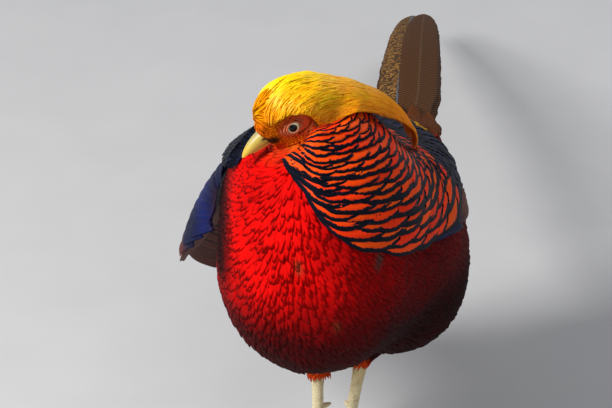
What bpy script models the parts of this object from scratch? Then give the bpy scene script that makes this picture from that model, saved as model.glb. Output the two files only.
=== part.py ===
"""Golden pheasant cock, life size, standing with its head turned to its right and its cape swung to its left.

The bird faces -Y, its left side is +X and the floor is z = 0. The flesh is one smooth field of ellipsoids, parted
into head, neck, torso and tail root by thin plane cuts. Crest, cape, wings and tail are laid over it vane by vane.
"""
import math
import random

import bmesh
import bpy
import numpy as np
from mathutils import Vector
from mathutils.bvhtree import BVHTree

GAP = 0.0003
VANE_THICKNESS = 0.0009
EDGE_THICKNESS = 0.0005
TINY = 1e-9
random.seed(7)

# Ellipsoids of the trunk: centre, half sizes (side, fore and aft, up), pitch and yaw in degrees, blend radius.
TRUNK_BLOBS = {
    "torso": ((-0.002, 0.020, 0.168), (0.066, 0.106, 0.065), -6, 0, 0.03),
    "breast": ((0.0, -0.044, 0.176), (0.063, 0.064, 0.074), 0, 0, 0.03),
    "flanks": ((-0.001, 0.016, 0.160), (0.076, 0.074, 0.060), 0, 0, 0.02),
    "vent": ((0.002, 0.052, 0.146), (0.060, 0.068, 0.048), 0, 0, 0.03),
    "tuft_left": ((0.031, 0.046, 0.121), (0.042, 0.058, 0.045), 0, 0, 0.02),
    "tuft_right": ((-0.036, 0.020, 0.125), (0.034, 0.048, 0.034), 0, 0, 0.02),
    "rump": ((0.0, 0.094, 0.180), (0.038, 0.056, 0.031), -8, 0, 0.03),
    "shoulder_right": ((-0.044, 0.004, 0.205), (0.034, 0.052, 0.034), 0, 0, 0.02),
    "neck": ((-0.002, -0.033, 0.229), (0.050, 0.049, 0.042), 0, 20, 0.03),
    "nape": ((-0.002, -0.023, 0.258), (0.025, 0.034, 0.026), 0, 40, 0.02),
}
TRUNK_CENTRE = np.array([0.0, -0.010, 0.190])
TRUNK_CUTS = 10
NECK_CUTS = 8
HEAD_CUTS = 9

# The head's own frame: origin midway between the eyes, bill turned to the bird's right and pitched down.
HEAD_YAW = math.radians(48)
HEAD_PITCH = math.radians(21)
HEAD_ORIGIN = np.array([-0.0195, -0.047, 0.2815])
HEADING = np.array([-math.sin(HEAD_YAW), -math.cos(HEAD_YAW), 0.0])
SKYWARD = np.array([0.0, 0.0, 1.0])
BILLWARD = HEADING * math.cos(HEAD_PITCH) - SKYWARD * math.sin(HEAD_PITCH)
CROWNWARD = HEADING * math.sin(HEAD_PITCH) + SKYWARD * math.cos(HEAD_PITCH)
LEFTWARD = np.array([math.cos(HEAD_YAW), -math.sin(HEAD_YAW), 0.0])
HEAD_AXES = np.stack([BILLWARD, LEFTWARD, CROWNWARD], axis=1)

# Ellipsoids of the head in that frame: forward and up place, half sizes (forward, side, up), blend radius.
HEAD_BLOBS = {
    "skull": ((-0.005, 0.002), (0.0240, 0.0144, 0.0165), 0.006),
    "lores": ((0.009, -0.0035), (0.0120, 0.0098, 0.0098), 0.006),
    "cheeks": ((-0.007, -0.008), (0.0170, 0.0135, 0.0125), 0.006),
    "crown": ((-0.003, 0.012), (0.0230, 0.0120, 0.0130), 0.008),
}
HEAD_CUT_AXIS = -HEADING * math.cos(math.radians(52)) - SKYWARD * math.sin(math.radians(52))
HEAD_CUT_DEPTH = 0.0185
CHIN_LEVEL = 0.0315
NECK_CUT_HEIGHT = 0.041
TAIL_CUT_PLACE = 0.134

EYE_SIDE = 0.0101
EYE_RADIUS = 0.0060
LID_RADIUS = 0.0043
LID_WIRE = 0.0009

BILL_ROOT = 0.0130
BILL_TIP = 0.0365
BILL_TIP_DROP = 0.0108
BILL_HALF_WIDTH = 0.0052
BILL_HALF_HEIGHT = 0.0056

# The cape is laid out round a pole through the nape: each feather runs along a meridian, away from the pole.
CAPE_POLE = np.array([-0.012, -0.036, 0.280]) - TRUNK_CENTRE
CAPE_START = 15.0
CAPE_BASE = 0.88
CAPE_AZIMUTHS = (-88, -74, -63, -57, -48, -40, -25, -5, 10, 25, 45, 70, 90, 120, 150, 180, 205)
CAPE_ENDS = (24, 34, 46, 58, 66, 73, 83, 95, 100, 103, 99, 90, 84, 76, 66, 54, 40)

# Each wing is a thin shell standing off the flank: its side reach falls off above and behind a level.
WINGS = {
    "left": dict(side=1, reach=0.0725, level=0.185, slope=0.30, arch=4.0, bend=5.0, wrist=(-0.030, 0.214), droop=14,
                 spread=1.0, middle=0.004, half_height=0.024),
    "right": dict(side=-1, reach=0.1035, level=0.170, slope=0.27, arch=4.6, bend=3.2, wrist=(-0.026, 0.193),
                  droop=30, spread=1.05, middle=0.003, half_height=0.039),
}
WING_SHELL = 0.0060
WING_BASE_MIDDLE = 0.036
WING_BASE_HALF = 0.054

CREST_CENTRE = np.array([-0.006, -0.0345, 0.262])

TAIL_ROOT = np.array([0.004, 0.125, 0.184])
TAIL_SWING = math.radians(17)
TAIL_LENGTH = 0.545
TAIL_SLOPE = 0.15
TAIL_SAG = 0.235
TAIL_VAULT = 4.0
TAIL_LAYER = 0.0017
TAIL_STATIONS = (0.019, 0.070, 0.140, 0.215, 0.300, 0.390, 0.470, 0.545)

LEGS = {
    "right": dict(hip=(-0.030, 0.016, 0.118), ankle=(-0.0192, 0.0135, 0.0620), hub=(-0.0175, 0.0100), toe_out=-14,
                  spread=-1),
    "left": dict(hip=(0.036, 0.020, 0.122), ankle=(0.0142, 0.0108, 0.0805), hub=(0.0050, 0.0035), toe_out=10,
                 spread=1),
}
THIGH_RADIUS = 0.021
SHANK_RADIUS = 0.0042
HUB_HEIGHT = 0.0125


def clear_scene():
    """Remove whatever the file opened with."""
    for thing in list(bpy.data.objects):
        bpy.data.objects.remove(thing)


def make_material(name, colour, roughness):
    """A plain Principled finish."""
    material = bpy.data.materials.new(name)
    material.use_nodes = True
    shader = material.node_tree.nodes["Principled BSDF"]
    shader.inputs["Base Color"].default_value = (*colour, 1.0)
    shader.inputs["Roughness"].default_value = roughness
    shader.inputs["Metallic"].default_value = 0.0
    return material


def add_mesh(name, points, faces, material=None):
    """A new object from points and faces."""
    mesh = bpy.data.meshes.new(name)
    mesh.from_pydata([tuple(float(c) for c in p) for p in points], [], [tuple(int(i) for i in f) for f in faces])
    mesh.update()
    piece = bpy.data.objects.new(name, mesh)
    bpy.context.scene.collection.objects.link(piece)
    if material:
        mesh.materials.append(material)
    return piece


def unit(vector):
    """The vector at length one."""
    return vector / max(np.linalg.norm(vector), TINY)


def turn_matrix(pitch, yaw):
    """Pitch about the side axis, then yaw about the upright, in degrees."""
    p, y = math.radians(pitch), math.radians(yaw)
    about_side = np.array([[1, 0, 0], [0, math.cos(p), -math.sin(p)], [0, math.sin(p), math.cos(p)]])
    about_up = np.array([[math.cos(y), -math.sin(y), 0], [math.sin(y), math.cos(y), 0], [0, 0, 1]])
    return about_up @ about_side


def ellipsoid_distance(points, centre, half, axes):
    """Signed distance to an ellipsoid, near enough: its level value over the length of its gradient."""
    local = (points - centre) @ axes
    level = np.linalg.norm(local / half, axis=-1)
    steepness = np.linalg.norm(local / np.square(half), axis=-1)
    return level * (level - 1.0) / np.maximum(steepness, TINY)


def smooth_union(first, second, radius):
    """The lesser of two distances, blended where they differ by less than the radius."""
    share = np.clip(0.5 + 0.5 * (second - first) / radius, 0.0, 1.0)
    return second * (1.0 - share) + first * share - radius * share * (1.0 - share)


def head_place(forward, side, up):
    """A point given in the head's frame."""
    return HEAD_ORIGIN + BILLWARD * forward + LEFTWARD * side + CROWNWARD * up


def trunk_distance(points):
    """The smooth union of the trunk's ellipsoids."""
    total = None
    for centre, half, pitch, yaw, radius in TRUNK_BLOBS.values():
        one = ellipsoid_distance(points, np.array(centre), np.array(half), turn_matrix(pitch, yaw))
        total = one if total is None else smooth_union(total, one, radius)
    return total


def bird_distance(points, with_face=True):
    """The trunk with the head blended on; the face is left out where only the nape matters."""
    total = trunk_distance(points)
    for name, (place, half, radius) in HEAD_BLOBS.items():
        if with_face or name in ("skull", "crown"):
            one = ellipsoid_distance(points, head_place(place[0], 0.0, place[1]), np.array(half), HEAD_AXES)
            total = smooth_union(total, one, radius)
    return total


def surface_radii(directions, centre, distance, reach=0.25, steps=70, halvings=18):
    """How far each direction runs from the centre before it leaves the flesh for the last time."""
    marks = np.linspace(0.004, reach, steps)
    outside = np.stack([distance(centre + directions * m) > 0 for m in marks], axis=1)
    last_inside = steps - 1 - np.argmax(~outside[:, ::-1], axis=1)
    low = marks[last_inside]
    high = marks[np.minimum(last_inside + 1, steps - 1)]
    for _ in range(halvings):
        middle = (low + high) / 2
        inside = distance(centre + directions * middle[:, None]) < 0
        low = np.where(inside, middle, low)
        high = np.where(inside, high, middle)
    return (low + high) / 2


def ball_directions(cuts):
    """Directions and faces of a cube blown up to a ball, with even, square cells."""
    grid = bmesh.new()
    bmesh.ops.create_cube(grid, size=2.0)
    bmesh.ops.subdivide_edges(grid, edges=grid.edges[:], cuts=cuts, use_grid_fill=True)
    bmesh.ops.triangulate(grid, faces=grid.faces[:])
    points = np.array([v.co[:] for v in grid.verts])
    points = np.tan(points * math.pi / 4)
    directions = points / np.linalg.norm(points, axis=1)[:, None]
    faces = [tuple(v.index for v in f.verts) for f in grid.faces]
    grid.free()
    return directions, faces


def flesh_ball(name, centre, distance, cuts, material=None, grow=0.0):
    """A closed skin round the flesh, seen from the centre, grown outwards for a cutter."""
    directions, faces = ball_directions(cuts)
    radii = surface_radii(directions, centre, distance) + grow
    return add_mesh(name, centre + directions * radii[:, None], faces, material)


def edit(piece, change):
    """Run one change on a piece's mesh through bmesh."""
    shape = bmesh.new()
    shape.from_mesh(piece.data)
    change(shape)
    shape.to_mesh(piece.data)
    shape.free()
    piece.data.update()


def slice_off(piece, point, normal):
    """Keep the side of the plane that lies against the normal, and close the cut."""

    def change(shape):
        bmesh.ops.bisect_plane(shape, geom=shape.verts[:] + shape.edges[:] + shape.faces[:], plane_co=Vector(point),
                               plane_no=Vector(normal), clear_outer=True)
        rim = [e for e in shape.edges if e.is_boundary]
        if rim:
            bmesh.ops.holes_fill(shape, edges=rim, sides=0)
        bmesh.ops.triangulate(shape, faces=[f for f in shape.faces if len(f.verts) > 3])

    edit(piece, change)


def keep_largest(piece):
    """Drop all but the largest closed surface, which also fills any pocket that fusing sealed."""

    def change(shape):
        unseen = set(shape.verts)
        groups = []
        while unseen:
            queue = [unseen.pop()]
            group = set(queue)
            while queue:
                for edge in queue.pop().link_edges:
                    for vertex in edge.verts:
                        if vertex in unseen:
                            unseen.discard(vertex)
                            group.add(vertex)
                            queue.append(vertex)
            groups.append(group)
        groups.sort(key=len, reverse=True)
        stray = [v for group in groups[1:] for v in group]
        bmesh.ops.delete(shape, geom=stray, context="VERTS")

    edit(piece, change)


def apply_modifiers(piece):
    """Bake a piece's modifiers into its mesh."""
    graph = bpy.context.evaluated_depsgraph_get()
    baked = bpy.data.meshes.new_from_object(piece.evaluated_get(graph))
    piece.modifiers.clear()
    piece.data = baked


def join_pieces(piece, others, solver="EXACT"):
    """One Boolean union of a piece with a collection of closed meshes, which are then removed."""
    group = bpy.data.collections.new(piece.name + "_joined")
    bpy.context.scene.collection.children.link(group)
    for other in others:
        group.objects.link(other)
    union = piece.modifiers.new("union", "BOOLEAN")
    union.operation = "UNION"
    union.operand_type = "COLLECTION"
    union.collection = group
    union.solver = solver
    apply_modifiers(piece)
    for other in others:
        bpy.data.objects.remove(other)
    bpy.data.collections.remove(group)
    keep_largest(piece)


def cut_away(piece, cutter, solver="EXACT", remove=True):
    """One Boolean difference."""
    cut = piece.modifiers.new("cut", "BOOLEAN")
    cut.operation = "DIFFERENCE"
    cut.object = cutter
    cut.solver = solver
    apply_modifiers(piece)
    if remove:
        bpy.data.objects.remove(cutter)
    keep_largest(piece)


def tree_of(pieces):
    """One search tree over the faces of several pieces."""
    points = []
    faces = []
    for piece in pieces:
        start = len(points)
        points += [v.co.copy() for v in piece.data.vertices]
        faces += [tuple(start + i for i in p.vertices) for p in piece.data.polygons]
    return BVHTree.FromPolygons(points, faces)


def reach_along(tree, start, direction, far=0.40):
    """How far out from the start the outermost face lies along a direction, or None where there is none."""
    origin = Vector(start + direction * far)
    place, _, _, distance = tree.ray_cast(origin, Vector(-direction), far)
    return None if place is None else far - distance


def vane(name, rows, outward):
    """A thin closed vane from rows of points across it and their outward directions, its underside on the rows.

    A row of two points gives a flat strip; a row of three, with the shaft's in the middle, gives a low gable.
    """
    points = []
    for row, out in zip(rows, outward):
        if len(row) == 2:
            left, right = row
            points += [left, left + out * VANE_THICKNESS * 0.8, right + out * VANE_THICKNESS * 0.8, right]
        else:
            left, middle, right = row
            points += [left, left + out * EDGE_THICKNESS, middle + out * VANE_THICKNESS, right + out * EDGE_THICKNESS,
                       right, middle]
    size = len(points) // len(rows)
    faces = []
    for row in range(len(rows) - 1):
        a, b = row * size, (row + 1) * size
        for k in range(size):
            m = (k + 1) % size
            # The underside's cells are split along the same diagonals as the cells above them.
            if k > size // 2:
                faces += [(a + k, b + k, a + m), (a + m, b + k, b + m)]
            else:
                faces += [(a + k, b + k, b + m), (a + k, b + m, a + m)]
    for start in (0, (len(rows) - 1) * size):
        faces += [(start + size - 1, start + k, start + k + 1) for k in range(size - 2)]
    piece = add_mesh(name, points, faces)
    edit(piece, lambda shape: bmesh.ops.recalc_face_normals(shape, faces=shape.faces[:]))
    return piece


def lay_vane(name, at, shares, centre, halves, lifts, gable=True):
    """A vane laid over a surface: at(share, side, lift) is the surface's point along it, across it and off it."""
    rows = []
    outward = []
    for share, half, lift in zip(shares, halves, lifts):
        middle = at(share, centre, lift)
        sides = (-half, 0.0, half) if gable else (-half, half)
        rows.append([at(share, centre + side, lift) for side in sides])
        outward.append(unit(at(share, centre, lift + 0.001) - middle))
    return vane(name, rows, outward)


def tube(name, path, radii, sides=10, flatten=None, material=None, side_axis=None):
    """A closed tube of rings along a path; flatten gives each ring's height over its width."""
    path = [np.array(p, dtype=float) for p in path]
    flatten = flatten or [1.0] * len(path)
    points = []
    across = side_axis
    for i, place in enumerate(path):
        along = unit(path[min(i + 1, len(path) - 1)] - path[max(i - 1, 0)])
        if across is None:
            across = np.cross(along, SKYWARD if abs(along[2]) < 0.9 else np.array([0.0, 1.0, 0.0]))
        across = unit(across - along * (across @ along))
        rise = np.cross(across, along)
        for k in range(sides):
            a = 2 * math.pi * (k + 0.5) / sides
            points.append(place + radii[i] * (across * math.cos(a) + rise * math.sin(a) * flatten[i]))
    faces = []
    for i in range(len(path) - 1):
        for k in range(sides):
            m = (k + 1) % sides
            a, b = i * sides, (i + 1) * sides
            faces += [(a + k, a + m, b + m), (a + k, b + m, b + k)]
    for start in (0, (len(path) - 1) * sides):
        faces += [(start, start + k, start + k + 1) for k in range(1, sides - 1)]
    piece = add_mesh(name, points, faces, material)
    edit(piece, lambda shape: bmesh.ops.recalc_face_normals(shape, faces=shape.faces[:]))
    return piece


def ball(name, centre, half, axes, cuts=5, material=None):
    """An ellipsoid with its half sizes along the given axes."""
    directions, faces = ball_directions(cuts)
    return add_mesh(name, centre + (directions * half) @ axes.T, faces, material)


def build_flesh(colours):
    """Torso, neck and head: one flesh, parted by two thin plane cuts, with the tail's root cut off flat."""
    pole = unit(CAPE_POLE)
    neck_cut = TRUNK_CENTRE + pole * NECK_CUT_HEIGHT
    head_cut = HEAD_ORIGIN + HEAD_CUT_AXIS * HEAD_CUT_DEPTH
    tail_cut = np.array([0.0, TAIL_CUT_PLACE, 0.0])
    backward = np.array([0.0, 1.0, 0.0])

    torso = flesh_ball("torso", TRUNK_CENTRE, trunk_distance, TRUNK_CUTS, colours["breast"])
    slice_off(torso, neck_cut - pole * GAP / 2, pole)
    slice_off(torso, tail_cut - backward * GAP / 2, backward)

    neck = flesh_ball("neck", TRUNK_CENTRE, lambda points: bird_distance(points, False), NECK_CUTS,
                      colours["cape"])
    slice_off(neck, neck_cut + pole * GAP / 2, -pole)

    # The head sits in a notch of the neck: a slanting face behind it and a level one under its chin.
    chin = HEAD_ORIGIN - SKYWARD * CHIN_LEVEL
    up_the_face = SKYWARD * abs(HEAD_CUT_AXIS @ HEADING) + HEADING * (HEAD_CUT_AXIS @ SKYWARD)
    behind = head_cut + HEAD_CUT_AXIS * GAP / 2
    corner = behind - up_the_face * ((behind - chin) @ SKYWARD + GAP / 2) / (up_the_face @ SKYWARD)
    outline = [corner, corner + HEADING * 0.2, corner + HEADING * 0.2 + SKYWARD * 0.2, corner + up_the_face * 0.3]
    points = [p + LEFTWARD * side for side in (-0.1, 0.1) for p in outline]
    faces = [(0, 1, 2), (0, 2, 3), (4, 6, 5), (4, 7, 6)]
    for k in range(4):
        m = (k + 1) % 4
        faces += [(k, k + 4, m + 4), (k, m + 4, m)]
    notch = add_mesh("notch", points, faces)
    edit(notch, lambda shape: bmesh.ops.recalc_face_normals(shape, faces=shape.faces[:]))
    cut_away(neck, notch)

    head = flesh_ball("head", head_place(-0.002, 0.0, 0.0), bird_distance, HEAD_CUTS, colours["crest"])
    slice_off(head, head_cut - HEAD_CUT_AXIS * GAP / 2, HEAD_CUT_AXIS)
    slice_off(head, chin + SKYWARD * GAP / 2, -SKYWARD)
    return torso, neck, head


def bill_section(share):
    """The upper bill's centre line and half sizes: it arches down to a blunt hook."""
    forward = BILL_ROOT + (BILL_TIP - BILL_ROOT) * share
    drop = BILL_TIP_DROP * (0.30 + 0.10 * share + 0.60 * share ** 2.2)
    slim = math.sqrt(max(1.0 - share ** 1.7, 0.006))
    return forward, -drop, BILL_HALF_WIDTH * slim, BILL_HALF_HEIGHT * slim


def build_bill(head, colours):
    """Upper and lower bill, parted along the mouth, set into sockets in the face."""
    shares = (-0.22, 0.0, 0.2, 0.4, 0.6, 0.78, 0.92, 1.0)
    mouth_point = head_place(BILL_ROOT, 0.0, -0.0062)
    mouth_normal = unit(CROWNWARD + BILLWARD * 0.13)

    def halves(grow):
        path = []
        radii = []
        flat = []
        for share in shares:
            forward, up, wide, tall = bill_section(max(share, 0.0))
            forward = BILL_ROOT + (BILL_TIP - BILL_ROOT) * share
            path.append(head_place(forward, 0.0, up))
            radii.append(wide + grow)
            flat.append((tall + grow) / (wide + grow))
        upper = tube("bill_upper", path, radii, 14, flat, colours["bill"], LEFTWARD)
        slice_off(upper, mouth_point + mouth_normal * (GAP / 2 - grow), -mouth_normal)
        lower_path = [head_place(f, 0.0, u) for f, u in
                      ((BILL_ROOT - 0.005, -0.0060), (BILL_ROOT, -0.0064), (BILL_ROOT + 0.008, -0.0078),
                       (BILL_ROOT + 0.014, -0.0092), (BILL_ROOT + 0.0175, -0.0101))]
        lower = tube("bill_lower", lower_path, [w + grow for w in (0.0044, 0.0044, 0.0038, 0.0026, 0.0010)], 12,
                     [0.80] * 5, colours["bill"], LEFTWARD)
        slice_off(lower, mouth_point - mouth_normal * (GAP / 2 - grow), mouth_normal)
        return upper, lower

    for cutter in halves(GAP):
        cut_away(head, cutter)
    upper, lower = halves(0.0)
    for side in (-1, 1):
        nostril = ball("nostril", head_place(BILL_ROOT + 0.0060, side * 0.0056, -0.0030),
                       np.array([0.0021, 0.0010, 0.0009]), HEAD_AXES, 3)
        cut_away(upper, nostril)
    return upper, lower


def build_eyes(head, colours):
    """Eyeballs in sockets, each with a ring of lid fused to the head."""
    rings = []
    eyes = []
    for name, side in (("eye_left", 1), ("eye_right", -1)):
        centre = head_place(0.0, side * EYE_SIDE, 0.0)
        socket = ball("socket", centre, np.full(3, EYE_RADIUS + GAP), HEAD_AXES, 3)
        rim = centre + LEFTWARD * side * math.sqrt((EYE_RADIUS + GAP) ** 2 - LID_RADIUS ** 2)
        count = 18
        lid_points = []
        faces = []
        sides = 5
        for i in range(count):
            a = 2 * math.pi * i / count
            spoke = BILLWARD * math.cos(a) + CROWNWARD * math.sin(a) * 0.86
            for k in range(sides):
                b = 2 * math.pi * (k + 0.5) / sides
                lid_points.append(rim + spoke * (LID_RADIUS + 0.0007 + LID_WIRE * math.cos(b))
                                  + LEFTWARD * side * (LID_WIRE * 0.9 * math.sin(b) - 0.0001))
        for i in range(count):
            for k in range(sides):
                a, b = i * sides, (i + 1) % count * sides
                m = (k + 1) % sides
                faces += [(a + k, b + k, b + m), (a + k, b + m, a + m)]
        ring = add_mesh("lid", lid_points, faces)
        edit(ring, lambda shape: bmesh.ops.recalc_face_normals(shape, faces=shape.faces[:]))
        rings.append((ring, socket))
        eyes.append(ball(name, centre, np.full(3, EYE_RADIUS), HEAD_AXES, 3, colours["eye"]))
    join_pieces(head, [ring for ring, _ in rings])
    for _, socket in rings:
        cut_away(head, socket)
    return eyes


def shell(name, outer, inner, material=None):
    """A closed shell from two grids of points, joined round their rim; every cell is split alike on both faces."""
    down, across = len(outer), len(outer[0])
    points = [p for row in outer for p in row] + [p for row in inner for p in row]
    size = down * across
    faces = []
    for i in range(down - 1):
        for j in range(across - 1):
            a, b = i * across + j, i * across + j + 1
            c, d = b + across, a + across
            faces += [(a, b, c), (a, c, d), (a + size, c + size, b + size), (a + size, d + size, c + size)]
    rim = list(range(across)) + [i * across + across - 1 for i in range(1, down)]
    rim += [(down - 1) * across + j for j in range(across - 2, -1, -1)] + [i * across for i in range(down - 2, 0, -1)]
    for k, a in enumerate(rim):
        b = rim[(k + 1) % len(rim)]
        faces += [(a, a + size, b + size), (a, b + size, b)]
    piece = add_mesh(name, points, faces, material)
    edit(piece, lambda shape: bmesh.ops.recalc_face_normals(shape, faces=shape.faces[:]))
    return piece


def wing_place(wing, along, up, lift, tree):
    """A point of the folded wing: along it from the wrist and up across it, with the lift off its outer face.

    The side reach is a level's reach less a slope and an arch above it and a bend fore and aft. The face stands
    off the flank by that reach, and comes down on the flank in a rounded shoulder towards its top and front.
    """
    droop = math.radians(wing["droop"])
    y = wing["wrist"][0] + (along * math.cos(droop) + up * math.sin(droop)) * wing["spread"]
    z = wing["wrist"][1] + (-along * math.sin(droop) + up * math.cos(droop)) * wing["spread"]
    rise = z - wing["level"]
    reach = wing["reach"] - wing["slope"] * rise - (wing["arch"] * rise ** 2 if rise > 0 else 0.0)
    reach -= wing["bend"] * (y - 0.012) ** 2
    outward = np.array([float(wing["side"]), 0.0, 0.0])
    flesh = reach_along(tree, np.array([0.0, y, z]), outward)
    if flesh is not None:
        front = (WING_BASE_MIDDLE - along) / WING_BASE_HALF
        top = (up - wing["middle"]) / wing["half_height"]
        rim = min(max(front, top, 0.0), 1.0)
        reach = flesh + max((reach - flesh) * math.sqrt(1.0 - 0.94 * rim ** 4), 0.0030)
    return np.array([0.0, y, z]) + outward * (reach + lift), flesh


def build_wing(name, wing, tree, colours):
    """A folded wing: a rounded shoulder on the flank with coverts over the roots of a fan of flight feathers."""
    outer = []
    inner = []
    for v in np.linspace(-1, 1, 7):
        outer_row = []
        inner_row = []
        for u in np.linspace(-1, 1, 9):
            # A square grid squeezed into a rounded outline, so that the shoulder has no corners.
            along = WING_BASE_MIDDLE + WING_BASE_HALF * u * math.sqrt(1 - v * v / 2)
            up = wing["middle"] - wing["half_height"] * v * math.sqrt(1 - u * u / 2)
            out, flesh = wing_place(wing, along, up, 0.0, tree)
            thin = WING_SHELL * min(1.0, 1.9 * (1 - max(abs(u), abs(v))) + 0.34)
            depth = abs(out[0]) - thin if flesh is None or v > 0.55 else min(abs(out[0]) - thin, flesh - 0.003)
            outer_row.append(out)
            inner_row.append(np.array([wing["side"] * depth, out[1], out[2]]))
        outer.append(outer_row)
        inner.append(inner_row)
    piece = shell(name, outer, inner, colours["wing"])

    # Rows of feathers: count, root and tip of the lowest, root and tip of the highest (along, up), reach of the lift.
    tall = wing["half_height"] / 0.031
    rows = {
        "flight": (10, (0.046, -0.023), (0.140, -0.030), (0.044, 0.020), (0.098, 0.030), 0.0026),
        "greater": (7, (0.014, -0.022), (0.064, -0.027), (0.018, 0.020), (0.062, 0.027), 0.0024),
        "lesser": (5, (-0.004, -0.014), (0.028, -0.020), (-0.002, 0.014), (0.030, 0.020), 0.0024),
    }
    vanes = []
    for title, (count, low_root, low_tip, high_root, high_tip, rise) in rows.items():
        for i in range(count):
            share = i / (count - 1)
            root = np.array(low_root) * (1 - share) + np.array(high_root) * share
            tip = np.array(low_tip) * (1 - share) + np.array(high_tip) * share
            root = np.array([root[0], wing["middle"] + root[1] * tall])
            tip = np.array([tip[0] * random.uniform(0.97, 1.03), wing["middle"] + tip[1] * tall])
            along = unit(tip - root)
            across = np.array([-along[1], along[0]])
            spacing = (high_root[1] - low_root[1]) * tall / (count - 1)

            def at(step, side, lift):
                place = root + (tip - root) * step + across * side
                return wing_place(wing, place[0], place[1], lift, tree)[0]

            half = spacing * 0.47
            vanes.append(lay_vane(title, at, (0.0, 0.30, 0.90, 1.0), 0.0, (half * 0.9, half, half, half * 0.4),
                                  (-0.0018, 0.0011, rise, rise), False))
    join_pieces(piece, vanes)
    return piece


def cape_direction(theta, phi):
    """A direction from the trunk's centre by its angle from the cape's pole and its azimuth round it."""
    pole = unit(CAPE_POLE)
    east = unit(np.array([1.0, 0.0, 0.0]) - pole * pole[0])
    north = np.cross(pole, east)
    t, p = math.radians(theta), math.radians(phi)
    return pole * math.cos(t) + (east * math.cos(p) + north * math.sin(p)) * math.sin(t)


def cape_end(phi):
    """How far from the pole the cape reaches at an azimuth."""
    return float(np.interp(phi, CAPE_AZIMUTHS, CAPE_ENDS))


def lay_cloak(tree, centre, direction_at, firsts, seconds, passes=24):
    """Radii over two angles of a covering laid like cloth on what is beneath: smoothed, but never under it."""
    raw = np.array([[reach_along(tree, centre, direction_at(a, b)) or 0.0 for b in seconds] for a in firsts])
    raw = np.where(raw < TINY, np.median(raw), raw)
    wide = np.pad(raw, 1, mode="edge")
    raw = np.max([wide[i:i + raw.shape[0], j:j + raw.shape[1]] for i in range(3) for j in range(3)], axis=0)
    cloak = raw
    for _ in range(passes):
        padded = np.pad(cloak, 1, mode="edge")
        spread = (padded[:-2, 1:-1] + padded[2:, 1:-1] + padded[1:-1, :-2] + padded[1:-1, 2:]) / 4
        cloak = np.maximum(raw, spread)
    return cloak


def cloak_radius(cloak, firsts, seconds, first, second):
    """The cloak's radius between its grid's places."""
    a = np.clip((first - firsts[0]) / (firsts[1] - firsts[0]), 0, len(firsts) - 1.001)
    b = np.clip((second - seconds[0]) / (seconds[1] - seconds[0]), 0, len(seconds) - 1.001)
    i, j = int(a), int(b)
    u, v = a - i, b - j
    near = cloak[i, j] * (1 - v) + cloak[i, j + 1] * v
    far = cloak[i + 1, j] * (1 - v) + cloak[i + 1, j + 1] * v
    return near * (1 - u) + far * u


def cape_start(cloak, thetas, phis, phi):
    """The angle from the pole at which the whole depth of the cape has left the head's cut behind."""
    head_cut = HEAD_ORIGIN + HEAD_CUT_AXIS * HEAD_CUT_DEPTH
    for theta in np.arange(CAPE_START, 60.0, 0.5):
        direction = cape_direction(theta, phi)
        radius = cloak_radius(cloak, thetas, phis, theta, phi)
        places = [TRUNK_CENTRE + direction * (radius + lift) for lift in (0.0066, -0.0100)]
        behind = min((place - head_cut) @ HEAD_CUT_AXIS for place in places)
        below = min((HEAD_ORIGIN - place) @ SKYWARD for place in places) - CHIN_LEVEL
        if max(behind, below) > 0.0015:
            return theta
    return 60.0


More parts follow.
